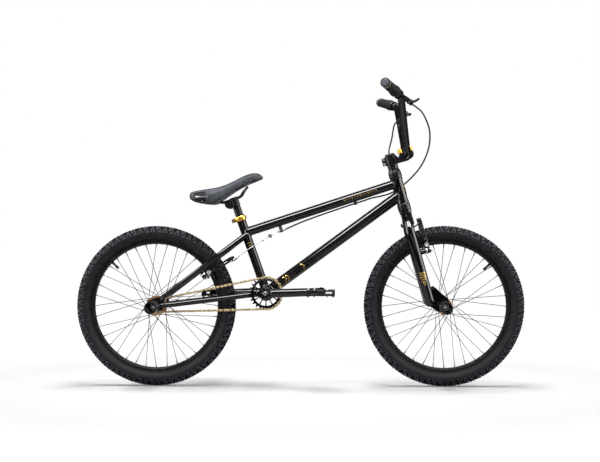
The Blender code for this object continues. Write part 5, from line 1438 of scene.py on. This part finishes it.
def add_toothed_ring(bm, centre, teeth, inner, phase):
    """A ring whose teeth narrow towards their tips."""
    radius = pitch_radius(teeth)
    root, tip = radius - 0.004, radius + 0.004
    flank = [(0.36, 0.02), (0.26, 0.22), (0.16, 0.62), (0.06, 0.97)]
    shape = [(-0.5, 0.0)] + [(-share, rise) for share, rise in flank] + flank[::-1]
    loops = []
    for tooth in range(teeth):
        for share, rise in shape:
            turn = phase + 2 * pi * (tooth + share) / teeth
            half_tip = TOOTH_HALF_THICKNESS - 0.0008 * rise
            half = [(inner, TOOTH_HALF_THICKNESS), (root - 0.001, TOOTH_HALF_THICKNESS),
                    (root + (tip - root) * rise, half_tip)]
            section = [(reach, -side) for reach, side in half] + half[::-1]
            loops.append([centre + reach * outward(turn) + Y_AXIS * (CHAIN_LINE + side)
                          for reach, side in section])
    add_loft(bm, loops, 0, closed=True)


def make_chainring():
    bm = bmesh.new()
    add_toothed_ring(bm, BOTTOM_BRACKET, CHAINRING_TEETH, 0.0395, radians(3))
    for turn in turns(CHAINRING_ARMS):
        out = outward(turn)
        side = out.cross(Y_AXIS)

        def place(a, b, h):
            return BOTTOM_BRACKET + a * out + b * side + Y_AXIS * (CHAIN_LINE + h)

        add_plate(bm, [(0.015, -0.003), (0.03, -0.0015), (0.0405, -0.0024), (0.0405, 0.0024), (0.03, 0.0015),
                       (0.015, 0.003)], place, -0.0013, 0.0013, 0.001, 0.0003)
    add_turned(bm, BOTTOM_BRACKET + Y_AXIS * CHAIN_LINE, -Y_AXIS,
               [(-0.0014, 0.019), (-0.001, 0.02), (0.0014, 0.02), (0.0019, 0.0192), (0.0019, 0.01)], 0, 64)
    make_piece("chainring_plate", bm, ["paint"], "crank", ["chainring"])


def make_driver():
    bm = bmesh.new()
    add_toothed_ring(bm, REAR_AXLE, DRIVER_TEETH, 0.011, 0.0)
    add_turned(bm, REAR_AXLE, -Y_AXIS,
               [(0.0309, 0.0122), (0.0313, 0.013), (0.05, 0.013), (0.0503, 0.0122), (0.0503, 0.009)], 0, 48)
    make_piece("driver_cog", bm, ["dark_steel"], "driver", ["rear_driver"])


def chain_run():
    """Pitch radii of the two sprockets, the tilt of their line, the wrap's lean and the straight run."""
    large, small = pitch_radius(CHAINRING_TEETH), pitch_radius(DRIVER_TEETH)
    across = BOTTOM_BRACKET - REAR_AXLE
    lean = acos((large - small) / across.length)
    return large, small, atan2(across.z, across.x), lean, across.length * sin(lean)


def chain_point(distance):
    """A point on the chain's closed loop, which starts under the chainring."""
    large, small, tilt, lean, run = chain_run()
    upper, lower = tilt + lean, tilt - lean
    if distance < 2 * lean * large:
        return BOTTOM_BRACKET + large * outward(lower + distance / large)
    distance -= 2 * lean * large
    if distance < run:
        start, end = BOTTOM_BRACKET + large * outward(upper), REAR_AXLE + small * outward(upper)
        return start.lerp(end, distance / run)
    distance -= run
    if distance < 2 * (pi - lean) * small:
        return REAR_AXLE + small * outward(upper + distance / small)
    distance -= 2 * (pi - lean) * small
    start, end = REAR_AXLE + small * outward(lower), BOTTOM_BRACKET + large * outward(lower)
    return start.lerp(end, distance / run)


def chain_length():
    large, small, _, lean, run = chain_run()
    return 2 * lean * large + 2 * (pi - lean) * small + 2 * run


def add_link(bm, start, end, start_side, end_side, mat):
    """Two waisted side plates between two pins, set wide or narrow at each end."""
    way = (end - start).normalized()
    up = Y_AXIS.cross(way)
    length = (end - start).length
    outline = []
    for centre, first in ((length, -70), (0, 110)):
        for i in range(9):
            turn = radians(first + i * 140 / 8)
            outline.append((centre + 0.0042 * cos(turn), 0.0042 * sin(turn)))
        outline.append((length / 2, 0.0022 if centre else -0.0022))
    for sign in (1, -1):
        loops = []
        for inset, depth in ((0.0003, -0.0005), (0.0, -0.0002), (0.0, 0.0002), (0.0003, 0.0005)):
            flat = inset_outline([Vector(point) for point in outline], inset)
            loop = []
            for along, rise in flat:
                share = min(max(along / length, 0), 1)
                offset = start_side + (end_side - start_side) * share
                loop.append(start + along * way + rise * up + Y_AXIS * sign * (offset + depth))
            loops.append(loop)
        add_loft(bm, loops, mat)


def make_chain():
    bm = bmesh.new()
    pitch = chain_length() / CHAIN_LINKS
    pins = [chain_point(pitch * i) + Y_AXIS * CHAIN_LINE for i in range(CHAIN_LINKS)]
    wide, narrow = 0.0041, 0.0029
    for index in range(CHAIN_LINKS):
        start, end = pins[index], pins[(index + 1) % CHAIN_LINKS]
        # every other link takes the darker colour, partly a two-tone chain and partly painted shade between
        # the outer plates
        sides, shade = ((wide, wide), 0) if index % 2 == 0 else ((narrow, narrow), 1)
        if index == CHAIN_LINKS - 1:
            sides = (wide, narrow)
        add_link(bm, start, end, *sides, shade)
        add_turned(bm, start - Y_AXIS * 0.0049, Y_AXIS,
                   [(0, 0.0015), (0.0002, 0.0019), (0.0096, 0.0019), (0.0098, 0.0015)], 0, 14)
        # the rollers take the darker colour, painted shade between the plates
        add_rod(bm, start - Y_AXIS * 0.0022, start + Y_AXIS * 0.0022, 0.0038, 1, 18, 0.0003)
    make_piece("chain_links", bm, ["chain", "inner_link_shade"], "frame", ["chain"])


def make_crank_arm(side):
    name = SIDE_NAMES[side]
    hub = BOTTOM_BRACKET + Y_AXIS * side * CRANK_ARM_OFFSET
    eye = joint_point(f"{name}_pedal_spin")
    way = (eye - hub).normalized()
    out = Y_AXIS * side
    bm = bmesh.new()
    inner = CRANK_ARM_RADIUS if side == LEFT else TO_CHAINRING
    path, radii = [], []
    steps = 14
    for i in range(steps + 1):
        share = i / steps
        path.append(hub + way * (0.006 + (CRANK_LENGTH - 0.01) * share))
        radii.append(CRANK_ARM_RADIUS * (1 - 0.1 * share))
    add_tube(bm, path, radii, 0, 40)
    add_turned(bm, hub - out * inner, out,
               [(0, 0.0178), (0.0008, CRANK_BOSS_RADIUS), (inner + 0.011, CRANK_BOSS_RADIUS),
                (inner + 0.0135, 0.0172), (inner + 0.0135, 0.01)], 0, 56)
    add_turned(bm, eye - out * 0.013, out,
               [(0, 0.013), (0.001, 0.0139), (0.0255, 0.0139), (0.0268, 0.0128), (0.0268, 0.0078)], 0, 48)
    add_turned(bm, hub + out * 0.0128, out,
               [(0, 0.0106), (0.0012, 0.0106), (0.002, 0.0096), (0.002, 0.006), (0.0004, 0.0056)], 0, 40)
    add_bolt(bm, hub + out * 0.013, out, 0.0062, 0.003, 1)
    for spot in circle(hub + out * 0.0134, X_AXIS, Z_AXIS, 0.0145, 8):
        add_turned(bm, spot, out, [(0, 0.0013), (0.0004, 0.001)], 1, 12)
    pinch = hub - way * 0.0215
    add_block(bm, pinch + way * 0.002, (way, Z_AXIS, Y_AXIS), (0.0065, 0.0075, 0.01), 0, 0.002, 0.0008)
    add_bolt(bm, pinch + Z_AXIS * 0.0072, Z_AXIS, 0.004, 0.004, 1)
    add_weld(bm, meeting_loop(hub, way, CRANK_ARM_RADIUS, hub, Y_AXIS, CRANK_BOSS_RADIUS), 0.0015, 0)
    if side == RIGHT:
        spot = hub + way * 0.03
        add_rod(bm, spot + out * 0.008, spot - out * TO_CHAINRING, 0.0052, 1, 24)
    make_piece(f"{name}_crank_tube", bm, ["paint", "dark_steel"], "crank", [f"{name}_crank_arm"])


def make_spindle():
    bm = bmesh.new()
    add_rod(bm, BOTTOM_BRACKET - Y_AXIS * 0.0858, BOTTOM_BRACKET + Y_AXIS * 0.0858, 0.0094, 0, 40)
    for start, end in ((-0.0404, -0.0343), (0.0343, 0.0592)):
        add_turned(bm, BOTTOM_BRACKET, Y_AXIS,
                   [(start, 0.0118), (start + 0.0008, 0.0125), (end - 0.0008, 0.0125),
                    (end, 0.0118)], 0, 40)
    make_piece("spindle_bar", bm, ["dark_steel"], "crank", ["crank_spindle"])


def make_bearings():
    """The two sealed bearings in the bottom bracket shell."""
    bm = bmesh.new()
    for side in SIDES:
        add_ring(bm, BOTTOM_BRACKET, Y_AXIS * side,
                 [(0.01, 0.0232), (0.0204, 0.0232), (0.0204, 0.033), (0.0198, 0.0336), (0.0172, 0.0336),
                  (0.0168, 0.0331), (0.014, 0.0331), (0.0136, 0.0336), (0.01, 0.0336)], 0, 56)
    make_piece("bracket_bearings", bm, ["steel"], "frame",
               ["bottom_bracket_left_bearing", "bottom_bracket_right_bearing"])


def make_pedal(side):
    """Open cage pedal: a barrel, two cross bars with pins, and ladder-shaped side plates."""
    name = SIDE_NAMES[side]
    eye = joint_point(f"{name}_pedal_spin")

    def at(along, out, up):
        return eye + X_AXIS * along + Y_AXIS * side * (CRANK_ARM_RADIUS + out) + Z_AXIS * up

    axes = (X_AXIS, Z_AXIS, Y_AXIS)
    bm = bmesh.new()
    add_turned(bm, at(0, 0.0132, 0), Y_AXIS * side,
               [(0, 0.0078), (0.0008, 0.0086), (0.02, 0.0086), (0.021, 0.0074), (0.0468, 0.007),
                (0.0728, 0.0074), (0.0738, 0.0086), (0.0928, 0.0086), (0.0936, 0.006)], 0, 36)
    for end in (-1, 1):
        for up in (-1, 1):
            add_block(bm, at(end * 0.0375, 0.06, up * 0.0068), axes, (0.0058, 0.003, 0.0468), 0, 0.002, 0.001)
            for out in (0.018, 0.046, 0.074, 0.102):
                add_turned(bm, at(end * 0.0385, out, up * 0.0088), Z_AXIS * up,
                           [(0, 0.0024), (0.003, 0.0022), (0.0044, 0.0014)], 1, 14)
            add_block(bm, at(end * 0.0412, 0.06, up * 0.0052), (Y_AXIS, Z_AXIS, X_AXIS),
                      (0.044, 0.005, 0.0018), 2, 0.001, 0.0004)
        for out in (0.0155, 0.06, 0.1045):
            add_block(bm, at(end * 0.0392, out, 0), (Y_AXIS, Z_AXIS, X_AXIS), (0.0022, 0.008, 0.004), 0,
                      0.0012, 0.0006)
    for out in (0.0172, 0.045, 0.075, 0.1028):
        for up in (-1, 1):
            add_block(bm, at(0, out, up * 0.0064), axes, (0.04, 0.0023, 0.0026), 0, 0.0012, 0.0006)
        for along in (-0.02, 0.02):
            for up in (-1, 1):
                add_turned(bm, at(along, out, up * 0.0084), Z_AXIS * up,
                           [(0, 0.002), (0.003, 0.0018), (0.004, 0.0012)], 1, 14)
        add_block(bm, at(0, out, 0), axes, (0.0105, 0.0084, 0.003), 0, 0.003, 0.0006)
    make_piece(f"{name}_pedal_cage", bm, ["matt", "dark_steel", "matt"], f"{name}_pedal", [f"{name}_pedal"])


def make_pedal_pin(side):
    name = SIDE_NAMES[side]
    eye = joint_point(f"{name}_pedal_spin")
    bm = bmesh.new()
    add_turned(bm, eye, Y_AXIS * side,
               [(-0.013, 0.006), (-0.012, 0.0068), (0.0142, 0.0068), (0.0144, 0.0088), (0.018, 0.009),
                (0.025, 0.0088), (0.0265, 0.005), (0.109, 0.0048)], 0, 32)
    make_piece(f"{name}_pedal_pin", bm, ["dark_steel"], "crank", [f"{name}_pedal_axle"])


# ------------------------------------------------------------------ saddle
# (x, top, bottom, half width) from the tail to the nose
SADDLE_STATIONS = ((-0.35, 0.6085, 0.599, 0.026), (-0.344, 0.614, 0.59, 0.045),
                   (-0.333, 0.6185, 0.583, 0.058), (-0.315, 0.6225, 0.579, 0.067),
                   (-0.294, 0.6262, 0.5755, 0.0705), (-0.272, 0.6292, 0.5742, 0.07),
                   (-0.258, 0.632, 0.5762, 0.066), (-0.246, 0.6352, 0.587, 0.0605),
                   (-0.229, 0.6408, 0.5995, 0.05),
                   (-0.198, 0.657, 0.62, 0.036), (-0.18, 0.666, 0.6295, 0.0295),
                   (-0.164, 0.672, 0.6375, 0.025), (-0.148, 0.6762, 0.644, 0.0215),
                   (-0.135, 0.6758, 0.649, 0.0185), (-0.124, 0.671, 0.6535, 0.0145),
                   (-0.1165, 0.664, 0.657, 0.008))


CROWN_POINTS = 18


def saddle_section():
    """Shares of half width and height round the pad: a flat base, short skirts, a crowned top."""
    section = [(-0.75, 0.02), (-0.35, 0.0), (0.35, 0.0), (0.75, 0.02), (0.93, 0.1), (0.99, 0.26), (1.0, 0.44)]
    for i in range(CROWN_POINTS + 1):
        turn = pi * (i + 0.6) / (CROWN_POINTS + 1.2)
        across = copysign(abs(cos(turn)) ** 0.75, cos(turn))
        section.append((across, 0.52 + 0.48 * sin(turn) ** 0.8))
    section += [(-1.0, 0.44), (-0.99, 0.26), (-0.93, 0.1)]
    return section


STITCH_PLACES = [station[0] for station in SADDLE_STATIONS[1:-1]]


def saddle_point(x, across, share):
    """A point on the saddle at a share of its half width and height."""
    before, after = next(pair for pair in zip(SADDLE_STATIONS, SADDLE_STATIONS[1:]) if x <= pair[1][0])
    way = (x - before[0]) / (after[0] - before[0])
    top, bottom, half_width = (before[k] + (after[k] - before[k]) * way for k in (1, 2, 3))
    return Vector((x, across * half_width, bottom + share * (top - bottom)))


SADDLE_DISH = 0.0022
DISH_SPAN = (-0.33, -0.18)
PANEL_SPAN = (-0.33, -0.283)
PANEL_TOP = 0.86  # these two are shares of the saddle's height
BASE_TOP = 0.12


def make_saddle_pad():
    """The padded cover, whose base and side panels are dark."""
    bm = bmesh.new()
    loops = []
    for x, top, bottom, half_width in SADDLE_STATIONS:
        dished = DISH_SPAN[0] < x < DISH_SPAN[1]
        loop = []
        for across, up in saddle_section():
            dish = SADDLE_DISH * exp(-(across / 0.28) ** 2) if up > 0.8 and dished else 0.0
            loop.append(Vector((x, across * half_width, bottom + up * (top - bottom) - dish)))
        loops.append(loop)
    for face in add_loft(bm, loops):
        centre = face.calc_center_median()
        nearest = min(SADDLE_STATIONS, key=lambda station: abs(station[0] - centre.x))
        share = (centre.z - nearest[2]) / (nearest[1] - nearest[2])
        on_panel = PANEL_SPAN[0] < centre.x < PANEL_SPAN[1] and share < PANEL_TOP
        if share < BASE_TOP or on_panel:
            face.material_index = 1
    saddle = make_piece("saddle_pad", bm, ["vinyl", "side_vinyl"], "saddle", ["saddle"],
                        angle=180)
    subdivision = saddle.modifiers.new("smooth", "SUBSURF")
    subdivision.levels = 2
    subdivision.render_levels = 2


def make_saddle_piping():
    bm = bmesh.new()
    for side in SIDES:
        seam = [saddle_point(x, side * 0.885, 0.905) for x in STITCH_PLACES]
        add_tube(bm, smooth_route(seam, 0.004), 0.001, 0, 10)
        skirt = [saddle_point(x, side * 0.985, 0.14) for x in STITCH_PLACES]
        add_tube(bm, smooth_route(skirt, 0.004), 0.0014, 0, 10)
    make_piece("saddle_piping", bm, ["side_vinyl"], "saddle")


def make_saddle_stripe():
    """A plain silver bar on each side panel, between two dots."""
    bm = bmesh.new()
    for side in SIDES:
        rows = [[saddle_point(x, side * 1.012, share) for x in (-0.3255, -0.315, -0.305, -0.295, -0.286)]
                for share in (0.43, 0.53)]
        for (a, b), (d, c) in zip(zip(rows[0], rows[0][1:]), zip(rows[1], rows[1][1:])):
            bm.faces.new([bm.verts.new(corner) for corner in (a, b, c, d)])
        for x in (-0.305, -0.2905):
            dot = saddle_point(x, side * 1.004, 0.2 if x < -0.3 else 0.8)
            add_turned(bm, dot, Y_AXIS * side, [(-0.001, 0.0017), (0.0004, 0.0015)], 0, 16)
    bmesh.ops.remove_doubles(bm, verts=bm.verts, dist=0.00001)
    make_piece("saddle_stripe", bm, ["silver_ink"], "saddle")


RAIL_PLACES = ((-0.264, 0.022, 0.585), (-0.244, 0.022, 0.581), (-0.236, 0.022, 0.584), (-0.191, 0.022, 0.6),
               (-0.178, 0.02, 0.617), (-0.169, 0.012, 0.628))
RAIL_NOSE = Vector((-0.1665, 0, 0.631))


def make_saddle_rail():
    """One bent rod that runs forward on one side, round the nose and back on the other."""
    bm = bmesh.new()
    left = [Vector(point) for point in RAIL_PLACES]
    path = [mirrored(point, RIGHT) for point in left] + [RAIL_NOSE] + left[::-1]
    add_tube(bm, smooth_route(path, 0.005), 0.0035, 0, 20)
    make_piece("saddle_rail", bm, ["satin"], "saddle", ["saddle_rails"])


def make_rail_clamp():
    bm = bmesh.new()
    for side in SIDES:
        way = Y_AXIS * side
        add_turned(bm, CLAMP_CENTRE, way,
                   [(0.017, 0.0138), (0.0176, 0.0146), (0.02, 0.0146), (0.0206, 0.0138), (0.024, 0.0138),
                    (0.0246, 0.0146), (0.0264, 0.0146), (0.027, 0.0138), (0.027, 0.007)], 0, 48)
        add_ring(bm, CLAMP_CENTRE, way,
                 [(0.0112, 0.0268), (0.0138, 0.0268), (0.0134, 0.0278), (0.0116, 0.0278)], 0, 48)
        add_turned(bm, CLAMP_CENTRE + way * 0.0266, way,
                   [(0, 0.007), (0.0012, 0.0068), (0.003, 0.0052), (0.0034, 0.003),
                    (0.0026, 0.0026)], 0, 32)
    add_rod(bm, CLAMP_CENTRE - Y_AXIS * 0.027, CLAMP_CENTRE + Y_AXIS * 0.027, 0.0045, 1, 24)
    make_piece("rail_clamp", bm, ["satin", "steel"], "saddle", ["saddle_clamp_discs"])


def make_seat_post():
    bm = bmesh.new()
    add_turned(bm, BOTTOM_BRACKET, SEAT_UP,
               [(0.13, 0.012), (0.1308, 0.0127), (0.287, 0.0127), (0.2885, 0.011), (0.3185, 0.011),
                (0.319, 0.0104)], 0, 56)
    make_piece("post_tube", bm, ["satin"], "post", ["seat_post"])
    bm = bmesh.new()
    add_turned(bm, BOTTOM_BRACKET, SEAT_UP,
               [(0.2895, 0.0128), (0.2903, 0.0141), (0.3192, 0.0141), (0.3206, 0.013),
                (0.321, 0.002)], 0, 48)
    add_block(bm, seat(0.304, -0.012), (SEAT_FORWARD, SEAT_UP, Y_AXIS), (0.009, 0.007, 0.0085), 0,
              0.002, 0.0008)
    add_rod(bm, CLAMP_CENTRE - Y_AXIS * 0.0166, CLAMP_CENTRE + Y_AXIS * 0.0166, 0.0082, 0, 36)
    make_piece("post_head", bm, ["satin"], "post", ["saddle_clamp"])


# ------------------------------------------------------------------ assembly
def main():
    for make in (make_camera, make_studio, make_frame, make_head_badge, make_frame_marks, make_seat_clamp,
                 make_headset, make_fork, make_fork_marks, make_handlebar, make_stem, make_rear_cable,
                 make_front_cable, make_rear_wire, make_chain, make_chainring, make_driver, make_spindle,
                 make_bearings, make_saddle_pad, make_saddle_piping, make_saddle_stripe, make_saddle_rail,
                 make_rail_clamp, make_seat_post):
        make()
    for side in SIDES:
        make_grip(side)
        make_perch(side)
        make_lever(side)
        make_crank_arm(side)
        make_pedal(side)
        make_pedal_pin(side)
    for end, centre, (_, outer), body in (("front", FRONT_AXLE, FRONT_DROPOUT, "steering"),
                                          ("rear", REAR_AXLE, REAR_DROPOUT, "frame")):
        make_tyre(end, centre)
        make_rim(end, centre)
        make_spokes(end, centre)
        make_hub(end, centre)
        make_axle(end, centre, outer, body)
        for side in SIDES:
            make_peg(end, centre, outer, side, body)
            make_caliper(end, side)
            make_shoe(end, side)


MATERIALS = make_materials()
main()
